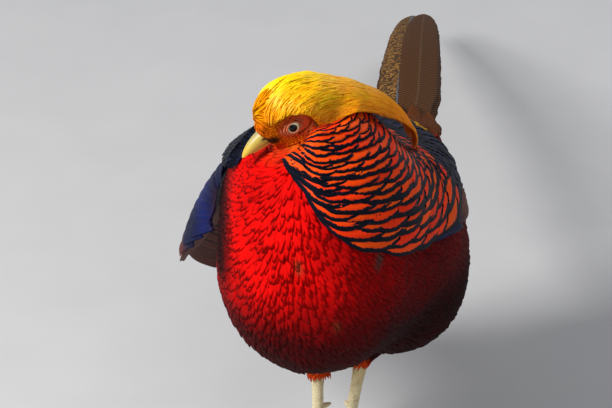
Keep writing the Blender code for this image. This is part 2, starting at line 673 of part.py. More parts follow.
def build_cape(neck, tree):
    """The cape: a mantle from the nape over the shoulders, with tiers of broad feathers laid over it to its hem."""
    thetas, phis = np.arange(6.0, 121.0, 2.5), np.arange(-99.0, 220.0, 2.5)
    cloak = lay_cloak(tree, TRUNK_CENTRE, cape_direction, thetas, phis, 30)
    neck_tree = tree_of([neck])
    marks = np.arange(CAPE_AZIMUTHS[0], CAPE_AZIMUTHS[-1] + 1.0, 2.0)
    starts = [cape_start(cloak, thetas, phis, phi) for phi in marks]

    def at(share, phi, lift):
        start = float(np.interp(phi, marks, starts))
        length = max(cape_end(phi) - start, 4.0)
        full = min(max((length - 8.0) / 16.0, 0.0), 1.0)
        theta = start + length * share
        stand_off = full * (0.0034 + 0.0014 * max(1 - share, 0.0)) - (1 - full) * 0.0030
        return TRUNK_CENTRE + cape_direction(theta, phi) * (cloak_radius(cloak, thetas, phis, theta, phi)
                                                            + stand_off + lift)

    # The mantle is sunk into the neck, and comes out of it well before the cut that parts neck and torso.
    outer = []
    inner = []
    pole = unit(CAPE_POLE)
    shares = np.linspace(0.0, CAPE_BASE, 7)
    for phi in np.linspace(CAPE_AZIMUTHS[0], CAPE_AZIMUTHS[-1], 22):
        outer_row = [at(share, phi, 0.0) for share in shares]
        directions = [unit(out - TRUNK_CENTRE) for out in outer_row]
        skin = [reach_along(neck_tree, TRUNK_CENTRE, direction) or 0.0 for direction in directions]
        on_neck = [(direction * far) @ pole > NECK_CUT_HEIGHT + 0.0005 for direction, far in zip(directions, skin)]
        start = float(np.interp(phi, marks, starts))
        inner_row = []
        for i, share in enumerate(shares):
            theta = start + max(cape_end(phi) - start, 4.0) * share
            under = cloak_radius(cloak, thetas, phis, theta, phi) + 0.0017
            if all(on_neck[:i + 1]) and (i + 1 == len(shares) or on_neck[i + 1]):
                lowest = (NECK_CUT_HEIGHT + 0.0025) / (directions[i] @ pole)
                under = max(skin[i] - 0.0065, lowest)
            inner_row.append(TRUNK_CENTRE + directions[i] * under)
        outer.append(outer_row)
        inner.append(inner_row)

    # Tiers of feathers: how many, and the share of the way to the hem that they end at.
    tiers = ((8, 0.34), (10, 0.57), (12, 0.79), (13, 1.0))
    vanes = []
    for count, end in tiers:
        step = (CAPE_AZIMUTHS[-1] - CAPE_AZIMUTHS[0] - 12.0) / count
        for i in range(count):
            phi = CAPE_AZIMUTHS[0] + 12.0 + step * (i + (0.5 if count % 4 else 0.25))
            if cape_end(phi) - float(np.interp(phi, marks, starts)) < 16.0:
                continue
            tip = end + random.uniform(-0.02, 0.02)
            root = max(end - 0.33, 0.02)
            half = step * 0.47
            shares = [root + (tip - root) * s for s in (0.0, 0.4, 0.86, 1.0)]
            vanes.append(lay_vane("ruff", at, shares, phi, (half * 0.8, half, half * 0.94, half * 0.42),
                                  (-0.0018, 0.0011, 0.0022, 0.0024)))
    join_pieces(neck, [shell("cape", outer, inner)] + vanes)


def build_crest(head, neck):
    """The crest: a smooth cushion from the brow back over the nape, with locks of long silky feathers on it."""
    tree, head_tree, neck_tree = tree_of([head, neck]), tree_of([head]), tree_of([neck])
    centre = CREST_CENTRE
    profile_angles = (40, 69, 92, 116, 142, 164, 184, 195, 201)
    profile_radii = (0.0470, 0.0480, 0.0460, 0.0450, 0.0500, 0.0610, 0.0745, 0.0815, 0.0840)

    def direction_at(angle, tilt):
        a, b = math.radians(angle), math.radians(tilt)
        return (HEADING * math.cos(a) + SKYWARD * math.sin(a)) * math.cos(b) + LEFTWARD * math.sin(b)

    angles, tilts = np.arange(30.0, 215.0, 5.0), np.arange(-60.0, 61.0, 5.0)
    cloak = lay_cloak(tree, centre, direction_at, angles, tilts)

    def place(share, lean, lift):
        start, end = 52 + 38 * lean ** 2, 200 - 30 * abs(lean)
        angle = start + (end - start) * share
        tilt = lean * (42 - 24 * share) - 9 * share
        direction = direction_at(angle, tilt)
        under = cloak_radius(cloak, angles, tilts, angle, tilt)
        top = float(np.interp(angle, profile_angles, profile_radii)) * (1 - 0.16 * lean ** 2)
        return centre + direction * (max(top - 0.0020, under + 0.0032) + lift), direction, under

    outer = []
    inner = []
    for lean in np.linspace(-1.0, 1.0, 9):
        outer_row = []
        inner_row = []
        for share in np.linspace(0.0, 0.90, 8):
            out, direction, under = place(share, lean, 0.0)
            on_head = reach_along(head_tree, centre, direction) or 0.0
            on_neck = reach_along(neck_tree, centre, direction) or 0.0
            rooted = share < 0.4 and on_head > on_neck + 0.004
            inner_row.append(centre + direction * (on_head - 0.003 if rooted else under + 0.0005))
            outer_row.append(out)
        outer.append(outer_row)
        inner.append(inner_row)

    # Locks: how many side by side, where they start and end along the crest, how high their ends stand.
    tiers = ((6, 0.52, 1.0, 0.0015), (5, 0.27, 0.73, 0.0018), (4, 0.07, 0.44, 0.0018))
    vanes = []
    for count, root, end, rise in tiers:
        step = 1.8 / count
        for i in range(count):
            lean = -0.9 + step * (i + 0.5)
            tip = end + random.uniform(-0.04, 0.04) * (1 - abs(lean))
            shares = [root + (tip - root) * s for s in (0.0, 0.28, 0.60, 0.86, 1.0)]
            half = step * 0.47
            vanes.append(lay_vane("lock", lambda share, side, lift: place(share, side, lift)[0], shares, lean,
                                  (half * 0.7, half, half * 0.95, half * 0.7, half * 0.2),
                                  (-0.0018, 0.0010, rise, rise, rise), False))
    join_pieces(head, [shell("crest", outer, inner)] + vanes)


def tail_place(distance, side, up):
    """A point on the tail's arch: out along it, sideways across its shallow vault and up from it."""
    forward = np.array([-math.sin(TAIL_SWING), math.cos(TAIL_SWING), 0.0])
    sideways = np.array([math.cos(TAIL_SWING), math.sin(TAIL_SWING), 0.0])
    height = -TAIL_SLOPE * distance - TAIL_SAG * distance ** 2 - TAIL_VAULT * side ** 2
    return TAIL_ROOT + forward * distance + sideways * side + SKYWARD * (height + up)


def build_tail(colours):
    """The tail: a fleshy root, four pairs of graduated feathers in layers beneath each other, and coverts on top."""
    sideways = np.array([math.cos(TAIL_SWING), math.sin(TAIL_SWING), 0.0])
    distances = (-0.010, 0.012, 0.034, 0.054)
    widths = (0.0270, 0.0270, 0.0240, 0.0150)
    heights = (0.0150, 0.0130, 0.0100, 0.0060)
    tail = tube("tail", [tail_place(d, 0.0, -0.0030) for d in distances], widths, 14,
                [h / w for h, w in zip(heights, widths)], colours["tail"], sideways)
    backward = np.array([0.0, 1.0, 0.0])
    slice_off(tail, np.array([0.0, TAIL_CUT_PLACE, 0.0]) + backward * GAP / 2, -backward)

    profile_shares = (0.0, 0.10, 0.25, 0.45, 0.65, 0.80, 0.90, 0.96, 1.0)
    profile = (0.55, 0.75, 1.0, 1.0, 0.94, 0.78, 0.55, 0.34, 0.08)
    # Pairs from the middle out: length, half width, how far their shafts stand apart at their widest.
    pairs = ((1.0, 0.0155, 0.0085), (0.84, 0.0125, 0.0137), (0.64, 0.0118, 0.0141), (0.46, 0.0105, 0.0146))
    vanes = []
    for k, (length, half, apart) in enumerate(pairs):
        for side in (-1, 1):
            end = TAIL_LENGTH * length * random.uniform(0.985, 1.0)
            layer = -TAIL_LAYER * (k + (1 if k else (0 if side > 0 else 1)))
            stations = [d for d in TAIL_STATIONS if d < end - 0.012] + [end]

            def at(distance, across, lift):
                shaft = side * apart * min(1.0, 0.35 + distance / 0.20) * (1 - 0.45 * distance / TAIL_LENGTH)
                return tail_place(distance, shaft + across, layer + lift)

            halves = [half * float(np.interp(d / end, profile_shares, profile)) for d in stations]
            vanes.append(lay_vane("rectrix", at, stations, 0.0, halves, [0.0] * len(stations)))

    # Coverts in two tiers: how many, their reach, their spacing and how many layers up they lie.
    for count, reach, spacing, tier in ((5, 0.125, 0.0098, 1), (4, 0.088, 0.0098, 2)):
        for i in range(count):
            lateral = (i - (count - 1) / 2) * spacing
            end = reach * (1 - 0.25 * abs(lateral) / 0.02) * random.uniform(0.95, 1.0)
            stations = (TAIL_STATIONS[0], TAIL_STATIONS[0] + (end - TAIL_STATIONS[0]) * 0.55, end - 0.010, end)

            def cover(distance, across, lift):
                return tail_place(distance, lateral + across, TAIL_LAYER * tier * min(1.0, distance / 0.05) + lift)

            half = spacing * 0.47
            vanes.append(lay_vane("covert", cover, stations, 0.0, (half * 0.9, half, half * 0.8, half * 0.3),
                                  (0.0, 0.0, 0.0, 0.0), False))
    join_pieces(tail, vanes)
    return tail


def build_leg(name, leg, torso, colours):
    """Feathered thigh, scaled shank with its spur, and a foot of four toes with claws."""
    hip = np.array(leg["hip"])
    ankle = np.array(leg["ankle"])
    hub = np.array([*leg["hub"], HUB_HEIGHT])
    down = unit(hub - ankle)
    thigh_axis = unit(ankle - hip)

    def thigh_tube(grow, title):
        reach = np.linalg.norm(ankle - hip)
        shares = (0.0, 0.3, 0.55, 0.75, 0.9, 1.0)
        sizes = (1.0, 0.92, 0.74, 0.55, 0.42, 0.36)
        path = [hip + thigh_axis * (reach * s - (grow if s == 0 else 0.0)) for s in shares]
        return tube(title, path, [THIGH_RADIUS * s + grow for s in sizes], 14, None, colours["thigh"])

    thigh = thigh_tube(0.0, "thigh_" + name)
    cut_away(torso, thigh_tube(GAP, "thigh_cutter"))
    slice_off(thigh, ankle - thigh_axis * 0.0008, thigh_axis)
    ankle_face = ankle - thigh_axis * (0.0008 - GAP)

    shank_path = [ankle - down * 0.004, ankle + down * 0.004, ankle + (hub - ankle) * 0.35,
                  ankle + (hub - ankle) * 0.7, hub - down * 0.004, hub + down * 0.003]
    shank = tube("shank_" + name, shank_path,
                 [SHANK_RADIUS * s for s in (1.25, 1.20, 0.95, 0.92, 1.08, 1.10)], 10, None, colours["leg"])
    slice_off(shank, ankle_face, -thigh_axis)
    floorward = np.array([0.0, 0.0, -1.0])
    slice_off(shank, np.array([0.0, 0.0, HUB_HEIGHT + GAP]), floorward)
    inward = np.array([-leg["spread"] * 0.75, 0.66, 0.0])
    spur_root = ankle + (hub - ankle) * 0.62
    spur = tube("spur", [spur_root, spur_root + inward * 0.005, spur_root + inward * 0.010 + SKYWARD * 0.0012],
                (0.0022, 0.0019, 0.0004), 8)
    join_pieces(shank, [spur])

    pieces = []
    claws = []
    toes = ((0, 0.040, 1.0, "middle"), (-22, 0.028, 0.92, "inner"), (30, 0.032, 0.92, "outer"),
            (176, 0.0150, 0.78, "hind"))
    foot = tube("foot_" + name, [hub * (1, 1, 0) + SKYWARD * h for h in (0.0005, 0.0040, 0.0090, HUB_HEIGHT)],
                (0.0058, 0.0062, 0.0052, 0.0046), 12, None, colours["leg"])
    for degrees, length, size, title in toes:
        angle = math.radians(leg["toe_out"] + leg["spread"] * degrees)
        forward = np.array([math.sin(angle), -math.cos(angle), 0.0])
        ground = hub * (1, 1, 0)
        path = []
        radii = []
        for share, swell in zip((0.0, 0.18, 0.34, 0.50, 0.66, 0.82, 0.97),
                                (1.30, 1.02, 1.10, 0.90, 1.00, 0.88, 0.70)):
            radius = 0.0036 * size * swell
            rise = radius * 0.80 if share < 0.9 else rise
            path.append(ground + forward * length * share + SKYWARD * rise)
            radii.append(radius)
        toe = tube("toe", path, radii, 8)
        pieces.append(toe)
        tip = ground + forward * length * 0.97
        claw_length = 0.0095 * size
        top = path[-1][2]
        claw_path = [tip + forward * GAP + SKYWARD * top, tip + forward * claw_length * 0.4 + SKYWARD * top,
                     tip + forward * claw_length * 0.8 + SKYWARD * top * 0.72,
                     tip + forward * claw_length + SKYWARD * 0.0010]
        claws.append(tube("claw_" + name + "_" + title, claw_path,
                          [radii[-1] * s for s in (0.74, 0.66, 0.40, 0.16)], 8, None, colours["claw"]))
    join_pieces(foot, pieces)
    slice_off(foot, np.array([0.0, 0.0, 0.0]), floorward)
    return [thigh, shank, foot] + claws


def stand_on_origin():
    """Put the middle of the bird's box over the origin, on the floor."""
    pieces = [p for p in bpy.data.objects if p.type == "MESH"]
    corners = np.array([v.co[:] for p in pieces for v in p.data.vertices])
    middle = (corners.min(axis=0) + corners.max(axis=0)) / 2
    for piece in pieces:
        for vertex in piece.data.vertices:
            vertex.co.x -= middle[0]
            vertex.co.y -= middle[1]
        piece.data.update()
    return middle


def shade_all():
    """Round pieces shaded smooth, with their real creases kept."""
    for piece in bpy.data.objects:
        piece.data.shade_smooth()
        piece.data.set_sharp_from_angle(angle=math.radians(40))


def build_bird():
    """The whole bird, each named part its own object."""
    clear_scene()
    colours = {
        "breast": make_material("scarlet_body", (0.55, 0.02, 0.01), 0.75),
        "cape": make_material("orange_cape", (0.75, 0.14, 0.01), 0.55),
        "crest": make_material("golden_crest", (0.85, 0.45, 0.02), 0.45),
        "bill": make_material("horn_bill", (0.72, 0.60, 0.35), 0.40),
        "eye": make_material("pale_eye", (0.80, 0.78, 0.55), 0.10),
        "wing": make_material("dark_wing", (0.05, 0.03, 0.05), 0.60),
        "tail": make_material("brown_tail", (0.22, 0.12, 0.05), 0.65),
        "thigh": make_material("rufous_thigh", (0.50, 0.10, 0.03), 0.75),
        "leg": make_material("scaled_leg", (0.70, 0.62, 0.45), 0.50),
        "claw": make_material("horn_claw", (0.30, 0.25, 0.20), 0.40),
    }
    torso, neck, head = build_flesh(colours)
    flank_tree = tree_of([torso])
    build_bill(head, colours)
    build_eyes(head, colours)
    grown_torso = flesh_ball("torso_cutter", TRUNK_CENTRE, trunk_distance, TRUNK_CUTS, None, GAP)
    wings = []
    for side, wing in WINGS.items():
        piece = build_wing("wing_" + side, wing, flank_tree, colours)
        cut_away(piece, grown_torso, "MANIFOLD", remove=False)
        wings.append(piece)
    bpy.data.objects.remove(grown_torso)
    build_cape(neck, tree_of([torso, neck] + wings))
    build_crest(head, neck)
    build_tail(colours)
    for name, leg in LEGS.items():
        build_leg(name, leg, torso, colours)
    stand_on_origin()
    shade_all()


build_bird()
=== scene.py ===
"""Golden pheasant cock in full plumage, life size, made as a still museum model."""

import math

import bpy
import numpy as np
from mathutils import Matrix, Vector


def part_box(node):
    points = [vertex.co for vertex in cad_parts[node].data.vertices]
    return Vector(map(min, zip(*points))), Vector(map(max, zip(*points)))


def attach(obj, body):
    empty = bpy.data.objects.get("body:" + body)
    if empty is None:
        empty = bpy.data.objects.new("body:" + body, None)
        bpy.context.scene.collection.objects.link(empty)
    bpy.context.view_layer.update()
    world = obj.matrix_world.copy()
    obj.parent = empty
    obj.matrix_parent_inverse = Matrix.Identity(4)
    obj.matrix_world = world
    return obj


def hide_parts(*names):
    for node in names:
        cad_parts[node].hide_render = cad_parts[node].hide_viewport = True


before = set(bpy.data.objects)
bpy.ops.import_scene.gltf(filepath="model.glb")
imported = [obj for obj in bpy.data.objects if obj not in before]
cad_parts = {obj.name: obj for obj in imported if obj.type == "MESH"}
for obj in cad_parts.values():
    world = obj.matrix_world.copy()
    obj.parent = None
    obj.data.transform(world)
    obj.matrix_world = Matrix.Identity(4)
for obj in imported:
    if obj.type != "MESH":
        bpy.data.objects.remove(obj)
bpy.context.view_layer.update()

# The skin. One soft form with no seam lies under all the feathers, from the crown to the root of the tail and
# down the thighs, as on a museum model it is carved to the living bird's shape. The bird faces -Y with its
# head turned to its right, and is put where the solids are by the place of its left eye.
SKYWARD = np.array([0.0, 0.0, 1.0])
HEAD_YAW, HEAD_PITCH = math.radians(48), math.radians(21)
HEAD_ORIGIN = np.array([-0.0195, -0.047, 0.2815])
HEADING = np.array([-math.sin(HEAD_YAW), -math.cos(HEAD_YAW), 0.0])
BILLWARD = HEADING * math.cos(HEAD_PITCH) - SKYWARD * math.sin(HEAD_PITCH)
CROWNWARD = HEADING * math.sin(HEAD_PITCH) + SKYWARD * math.cos(HEAD_PITCH)
LEFTWARD = np.array([math.cos(HEAD_YAW), -math.sin(HEAD_YAW), 0.0])
HEAD_AXES = np.stack([BILLWARD, LEFTWARD, CROWNWARD], axis=1)
EYE_SIDE, EYE_RADIUS = 0.0101, 0.0060
TRUNK_CENTRE = np.array([0.0, -0.010, 0.190])
SKIN_DEPTH, VOXEL = 0.0016, 0.0019
FULL_TURN, GOLDEN_ANGLE, TINY = 2 * math.pi, math.pi * (3 - math.sqrt(5)), 1e-9

# Ellipsoids of the trunk: centre, half sizes (side, fore and aft, up), pitch and yaw in degrees, blend
# radius.
TRUNK_BLOBS = {
    "torso": ((-0.002, 0.020, 0.168), (0.066, 0.106, 0.065), -6, 0, 0.03),
    "breast": ((0.0, -0.044, 0.176), (0.063, 0.064, 0.074), 0, 0, 0.03),
    "flanks": ((-0.001, 0.016, 0.160), (0.076, 0.074, 0.060), 0, 0, 0.02),
    "vent": ((0.002, 0.052, 0.146), (0.060, 0.068, 0.048), 0, 0, 0.03),
    "tuft_left": ((0.031, 0.046, 0.121), (0.042, 0.058, 0.045), 0, 0, 0.02),
    "tuft_right": ((-0.036, 0.020, 0.125), (0.034, 0.048, 0.034), 0, 0, 0.02),
    "rump": ((0.0, 0.094, 0.180), (0.038, 0.056, 0.031), -8, 0, 0.03),
    "shoulder_right": ((-0.044, 0.004, 0.205), (0.034, 0.052, 0.034), 0, 0, 0.02),
    "neck": ((-0.002, -0.033, 0.229), (0.050, 0.049, 0.042), 0, 20, 0.03),
    "nape": ((-0.002, -0.023, 0.258), (0.025, 0.034, 0.026), 0, 40, 0.02),
}
# Ellipsoids of the head: forward and up place, half sizes (forward, side, up), blend radius.
HEAD_BLOBS = {
    "skull": ((-0.005, 0.002), (0.0240, 0.0144, 0.0165), 0.006),
    "lores": ((0.009, -0.0035), (0.0120, 0.0098, 0.0098), 0.006),
    "cheeks": ((-0.007, -0.008), (0.0170, 0.0135, 0.0125), 0.006),
    "crown": ((-0.003, 0.012), (0.0230, 0.0120, 0.0130), 0.008),
}
# Each thigh's hip and ankle.
THIGHS = {"right": np.array([[-0.030, 0.016, 0.118], [-0.0192, 0.0135, 0.0620]]),
          "left": np.array([[0.036, 0.020, 0.122], [0.0142, 0.0108, 0.0805]])}
THIGH_RADIUS = 0.021


def unit(vectors):
    """Each vector over its own length."""
    return vectors / np.maximum(np.linalg.norm(vectors, axis=-1, keepdims=True), TINY)


def head_place(forward, side, up):
    """The head's origin plus the given steps along its bill, to its left and to its crown."""
    forward, side, up = (np.asarray(value, dtype=float)[..., None] for value in (forward, side, up))
    return HEAD_ORIGIN + BILLWARD * forward + LEFTWARD * side + CROWNWARD * up


def head_steps(points):
    """The steps from the head's origin along its bill, to its left and to its crown, as three arrays."""
    return np.moveaxis((points - HEAD_ORIGIN) @ HEAD_AXES, -1, 0)


eye_box = np.array([list(corner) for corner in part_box("eye_left")])
BIRD_SHIFT = head_place(0.0, EYE_SIDE, 0.0) - eye_box.mean(axis=0)


def ellipsoid_distance(points, centre, half, axes):
    """Signed distance to an ellipsoid, near enough: its level times (level - 1) over the length of its
    slope."""
    local = (points - centre) @ axes
    level = np.linalg.norm(local / half, axis=-1)
    return level * (level - 1.0) / np.maximum(np.linalg.norm(local / np.square(half), axis=-1), TINY)


def smooth_union(first, second, radius):
    """The lesser of two distances, less a parabola of the blend radius where they are close."""
    share = np.clip(0.5 + 0.5 * (second - first) / radius, 0.0, 1.0)
    return second * (1.0 - share) + first * share - radius * share * (1.0 - share)


def trunk_distance(points):
    """The trunk's ellipsoids, each turned by its pitch and yaw, joined smoothly one after another."""
    total = None
    for centre, half, pitch, yaw, radius in TRUNK_BLOBS.values():
        p, y = math.radians(pitch), math.radians(yaw)
        about_side = np.array([[1, 0, 0], [0, math.cos(p), -math.sin(p)], [0, math.sin(p), math.cos(p)]])
        about_up = np.array([[math.cos(y), -math.sin(y), 0], [math.sin(y), math.cos(y), 0], [0, 0, 1]])
        one = ellipsoid_distance(points, np.array(centre), np.array(half), about_up @ about_side)
        total = one if total is None else smooth_union(total, one, radius)
    return total


def bird_distance(points, with_face=True):
    """The trunk with the head's ellipsoids joined on, in the head's own axes."""
    total = trunk_distance(points)
    for name, (place, half, radius) in HEAD_BLOBS.items():
        if with_face or name in ("skull", "crown"):
            one = ellipsoid_distance(points, head_place(place[0], 0.0, place[1]), np.array(half), HEAD_AXES)
            total = smooth_union(total, one, radius)
    return total


def crossing(origins, ways, distance, reach=0.25, steps=60, first=False):
    """How far each ray runs before it leaves a form for the last time, or the first: even steps, then
    halving."""
    marks = np.linspace(0.0, reach, steps)
    inside = np.stack([distance(origins + ways * mark) < 0 for mark in marks], axis=-1)
    last = steps - 1 - np.argmax(inside[..., ::-1], axis=-1)
    if first:
        last = np.maximum(np.argmin(inside, axis=-1) - 1, 0)
    low, high = marks[last], marks[np.minimum(last + 1, steps - 1)]
    for _ in range(13):
        middle = (low + high) / 2
        within = distance(origins + ways * middle[..., None]) < 0
        low, high = np.where(within, middle, low), np.where(within, high, middle)
    return np.where(inside.any(axis=-1), (low + high) / 2, 0.0)


def cast(centre, ways, distance=bird_distance, reach=0.25, first=False):
    """Where rays from a centre leave a form."""
    return centre + ways * crossing(centre, ways, distance, reach, first=first)[..., None]


def around(count):
    """Even angles round a full turn, as a row."""
    return np.linspace(0, FULL_TURN, count, endpoint=False)[None]


def globe(rows, columns):
    """Directions on rings of latitude about +Z, from near the south pole to near the north pole."""
    latitude = np.linspace(-math.pi / 2, math.pi / 2, rows + 2)[1:-1, None] + 0 * around(columns)
    level = np.cos(latitude)
    across = level * np.cos(around(columns)), level * np.sin(around(columns))
    return np.stack([*across, np.sin(latitude)], axis=-1)


def closed_rings(rings, start=None, end=None):
    """Points and faces of rings joined one to the next, with a fan to a point at either end, or to its
    middle."""
    rows, columns = rings.shape[:2]
    start = rings[0].mean(axis=0) if start is None else start
    end = rings[-1].mean(axis=0) if end is None else end
    points = np.concatenate([rings.reshape(-1, 3), [start], [end]])
    index = np.arange(rows * columns).reshape(rows, columns)
    after = np.roll(index, -1, axis=1)
    quads = np.stack([index[:-1], after[:-1], after[1:], index[1:]], axis=-1).reshape(-1, 4)
    low = np.stack([np.full(columns, rows * columns), after[0], index[0]], axis=-1)
    high = np.stack([np.full(columns, rows * columns + 1), index[-1], after[-1]], axis=-1)
    return points, quads, np.concatenate([low, high])


def joined(parts):
    """Several closed forms as one: points, quads and triangles."""
    start = np.cumsum([0] + [len(part[0]) for part in parts[:-1]])
    return (np.concatenate([part[0] for part in parts]),
            *(np.concatenate([part[k] + s for part, s in zip(parts, start)]) for k in (1, 2)))


def put_mesh(name, points, quads, triangles=np.zeros((0, 3), dtype=int)):
    """An object from points in the bird's frame: quads, then triangles, turned about if the volume is
    negative."""
    fans = np.concatenate([quads[:, [0, 1, 2]], quads[:, [0, 2, 3]], triangles])
    a, b, c = ((points - points.mean(axis=0))[fans[:, k]] for k in range(3))
    if np.einsum("ij,ij->i", a, np.cross(b, c)).sum() < 0:
        quads, triangles = quads[:, ::-1], triangles[:, ::-1]
    loops = np.concatenate([quads.ravel(), triangles.ravel()]).astype(np.int32)
    sizes = np.concatenate([np.full(len(quads), 4), np.full(len(triangles), 3)])
    mesh = bpy.data.meshes.new(name)
    mesh.vertices.add(len(points))
    mesh.vertices.foreach_set("co", (points - BIRD_SHIFT).astype(np.float32).ravel())
    mesh.loops.add(len(loops))
    mesh.loops.foreach_set("vertex_index", loops)
    mesh.polygons.add(len(sizes))
    mesh.polygons.foreach_set("loop_start", (np.cumsum(sizes) - sizes).astype(np.int32))
    mesh.update(calc_edges=True)
    mesh.shade_smooth()
    piece = bpy.data.objects.new(name, mesh)
    bpy.context.scene.collection.objects.link(piece)
    return piece


def add_map(piece, name, values):
    """A UV map from one pair of numbers for each point."""
    loops = np.empty(len(piece.data.loops), dtype=np.int32)
    piece.data.loops.foreach_get("vertex_index", loops)
    layer = piece.data.uv_layers.new(name=name)
    layer.data.foreach_set("uv", values[loops].astype(np.float32).ravel())


def add_colour(piece, values):
    """The piece's colours, one linear colour for each point: its markings, with painted shade on some pieces
    and a painted highlight on the wings.
    """
    layer = piece.data.attributes.new("plumage", "FLOAT_COLOR", "POINT")
    solid = np.concatenate([np.clip(values, 0, 1), np.ones((len(values), 1))], axis=1)
    layer.data.foreach_set("color", solid.astype(np.float32).ravel())


def points_of(piece):
    """A piece's points, back in the bird's frame."""
    points = np.empty(len(piece.data.vertices) * 3, dtype=np.float32)
    piece.data.vertices.foreach_get("co", points)
    return points.reshape(-1, 3).astype(float) + BIRD_SHIFT


def unwrap(points, centre=TRUNK_CENTRE, axes=np.eye(3)):
    """The skin's unwrap: longitude and latitude about a centre inside it, each as a share of one."""
    local = unit(points - centre) @ axes
    longitude = np.arctan2(local[..., 0], -local[..., 1]) / FULL_TURN + 0.5
    return np.stack([longitude, np.arcsin(np.clip(local[..., 2], -1, 1)) / math.pi + 0.5], axis=-1)


def fade(values, low, high):
    """0 below the low mark, 1 above the high one, and a smooth S between: 3t^2 - 2t^3."""
    t = np.clip((np.asarray(values, dtype=float) - low) / (high - low), 0, 1)
    return t * t * (3 - 2 * t)


def painted(base, *coats):
    """A colour as seen on a screen, 0 to 255, with others laid over it in turn, each by the share that is its
    fourth number, all as the linear light that the shader takes."""
    shade = None
    for red, green, blue, share in ((*base, 1.0), *coats):
        screen = np.array([red, green, blue]) / 255.0
        light = np.where(screen <= 0.04045, screen / 12.92, ((screen + 0.055) / 1.055) ** 2.4)
        share = np.asarray(share)[..., None]
        shade = light if shade is None else shade * (1 - share) + light * share
    return shade


# Small marks on the breast: two partings darkened with painted shade, two pale tips and a green one: both ends,
# width, colour.
BREAST_MARKS = (
    ((-0.0121, -0.0907, 0.2321), (-0.0106, -0.0948, 0.2243), 0.0012, (70, 0, 0)),
    ((-0.0377, -0.0907, 0.2018), (-0.0238, -0.1023, 0.1884), 0.0014, (48, 0, 2)),
    ((0.0088, -0.1015, 0.2074), (0.0100, -0.1015, 0.2030), 0.0022, (186, 88, 52)),
    ((0.0339, -0.0974, 0.1660), (0.0345, -0.0970, 0.1620), 0.0024, (128, 62, 36)),
    ((0.0533, -0.0699, 0.2045), (0.0515, -0.0720, 0.1990), 0.0026, (14, 84, 78)),
)


def aslant(points):
    """How far a place lies to the bird's left and rear, the line along which the body's colours darken, partly
    as painted shade.
    """
    return points[..., 0] * 0.94 + points[..., 1] * 0.34


def body_colour_and_shade(points):
    """The body's colours: scarlet breast, crimson below and behind, maroon on the left flank, a golden rump
    and a green mantle, each mixed in by a smooth fade of the place. The darkening towards the left rear and
    the bottom is partly the bird's own colour and partly painted shade."""
    x, y, z = np.moveaxis(points, -1, 0)
    leftward = aslant(points)
    marks = []
    for first, last, width, mark in BREAST_MARKS:
        line = np.subtract(last, first)
        along = np.clip((points - first) @ line / (line @ line), 0, 1)
        gap = np.linalg.norm(points - first - along[..., None] * line, axis=-1)
        marks.append((*mark, np.exp(-(gap / width) ** 2) * 0.85))
    above = fade(z, 0.188, 0.205) * fade(y, 0.010, 0.030) * fade(0.075 - np.abs(x), 0.0, 0.02)
    # The crimson, maroon and near-black layers that darken towards the left rear and the bottom are partly the
    # bird's own colour and partly painted shade.
    return painted((252, 8, 4),
                   (176, 6, 8, fade(leftward, -0.035, 0.030)),
                   (86, 0, 4, fade(0.202 - z, 0.0, 0.060)),
                   (112, 5, 8, fade(leftward, 0.020, 0.062)),
                   (40, 2, 6, fade(leftward, 0.000, 0.045) * fade(0.180 - z, 0.0, 0.055)),
                   (48, 1, 4, fade(0.148 - z, 0.0, 0.050)),
                   (120, 62, 30, fade(y, 0.085, 0.115) * fade(0.165 - z, 0.0, 0.02)),
                   (52, 4, 8, fade(-leftward, 0.066, 0.076) * fade(z, 0.165, 0.185)),
                   *marks,
                   (240, 176, 24, above),
                   (28, 96, 62, above * fade(0.062 - y, 0.0, 0.02)))


def oval(first, second, centre, half):
    """The level of an oval: its middle is 0 and its edge is 1."""
    return np.sqrt(((first - centre[0]) / half[0]) ** 2 + ((second - centre[1]) / half[1]) ** 2)


def face_colour(points):
    """The face's colours in the head's axes: orange lores, a bare red patch round the eye, a tan ear and
    throat, and a dark band of painted shade where the face meets the bill at the mouth."""
    forward, _, up = head_steps(points)
    near_eye = oval(forward, up, (-0.003, 0.0006), (0.0125, 0.0080))
    ear = fade(-forward, 0.002, 0.009) * fade(0.0005 - up, 0.0, 0.005) * fade(forward, -0.019, -0.013)
    return painted((255, 124, 2),
                   (255, 158, 0, fade(up, 0.006, 0.014)),
                   (236, 176, 108, ear),
                   (222, 96, 30, fade(-up, 0.010, 0.016)),
                   (228, 98, 46, fade(1.25 - near_eye, 0.0, 0.35)),
                   (120, 26, 16, fade(-forward, 0.008, 0.015) * fade(up, 0.001, 0.005)),
                   # A dark band by the bill's base at the mouth's line: painted shade where the face meets the
                   # bill.
                   (70, 34, 20, fade(forward, 0.008, 0.013) * fade(0.0045 - np.abs(up + 0.0045), 0, 0.003)),
                   (226, 60, 16, fade(forward, 0.005, 0.012) * fade(-up, 0.0075, 0.0105)))


def skin_colour_and_shade(points):
    """The body's colours and their painted shade below the head, the face's on it."""
    forward, _, up = head_steps(points)
    on_head = (fade(forward, -0.026, -0.020) * fade(up, -0.019, -0.013))[..., None]
    return body_colour_and_shade(points) * (1 - on_head) + face_colour(points) * on_head


class Value:
    """A socket that gives a number: each operator on it adds a Math node, also where it stands on the
    right."""

    def __init__(self, finish, socket):
        self.finish, self.socket = finish, socket

    def _math(self, operation, first, second):
        return self.finish.node("Math", {"operation": operation}, {0: first, 1: second})

    def __add__(self, other):
        return self._math("ADD", self, other)

    def __sub__(self, other):
        return self._math("SUBTRACT", self, other)

    def __mul__(self, other):
        return self._math("MULTIPLY", self, other)

    def __abs__(self):
        return self._math("ABSOLUTE", self, 0.0)

    __radd__ = __add__
    __rmul__ = __mul__


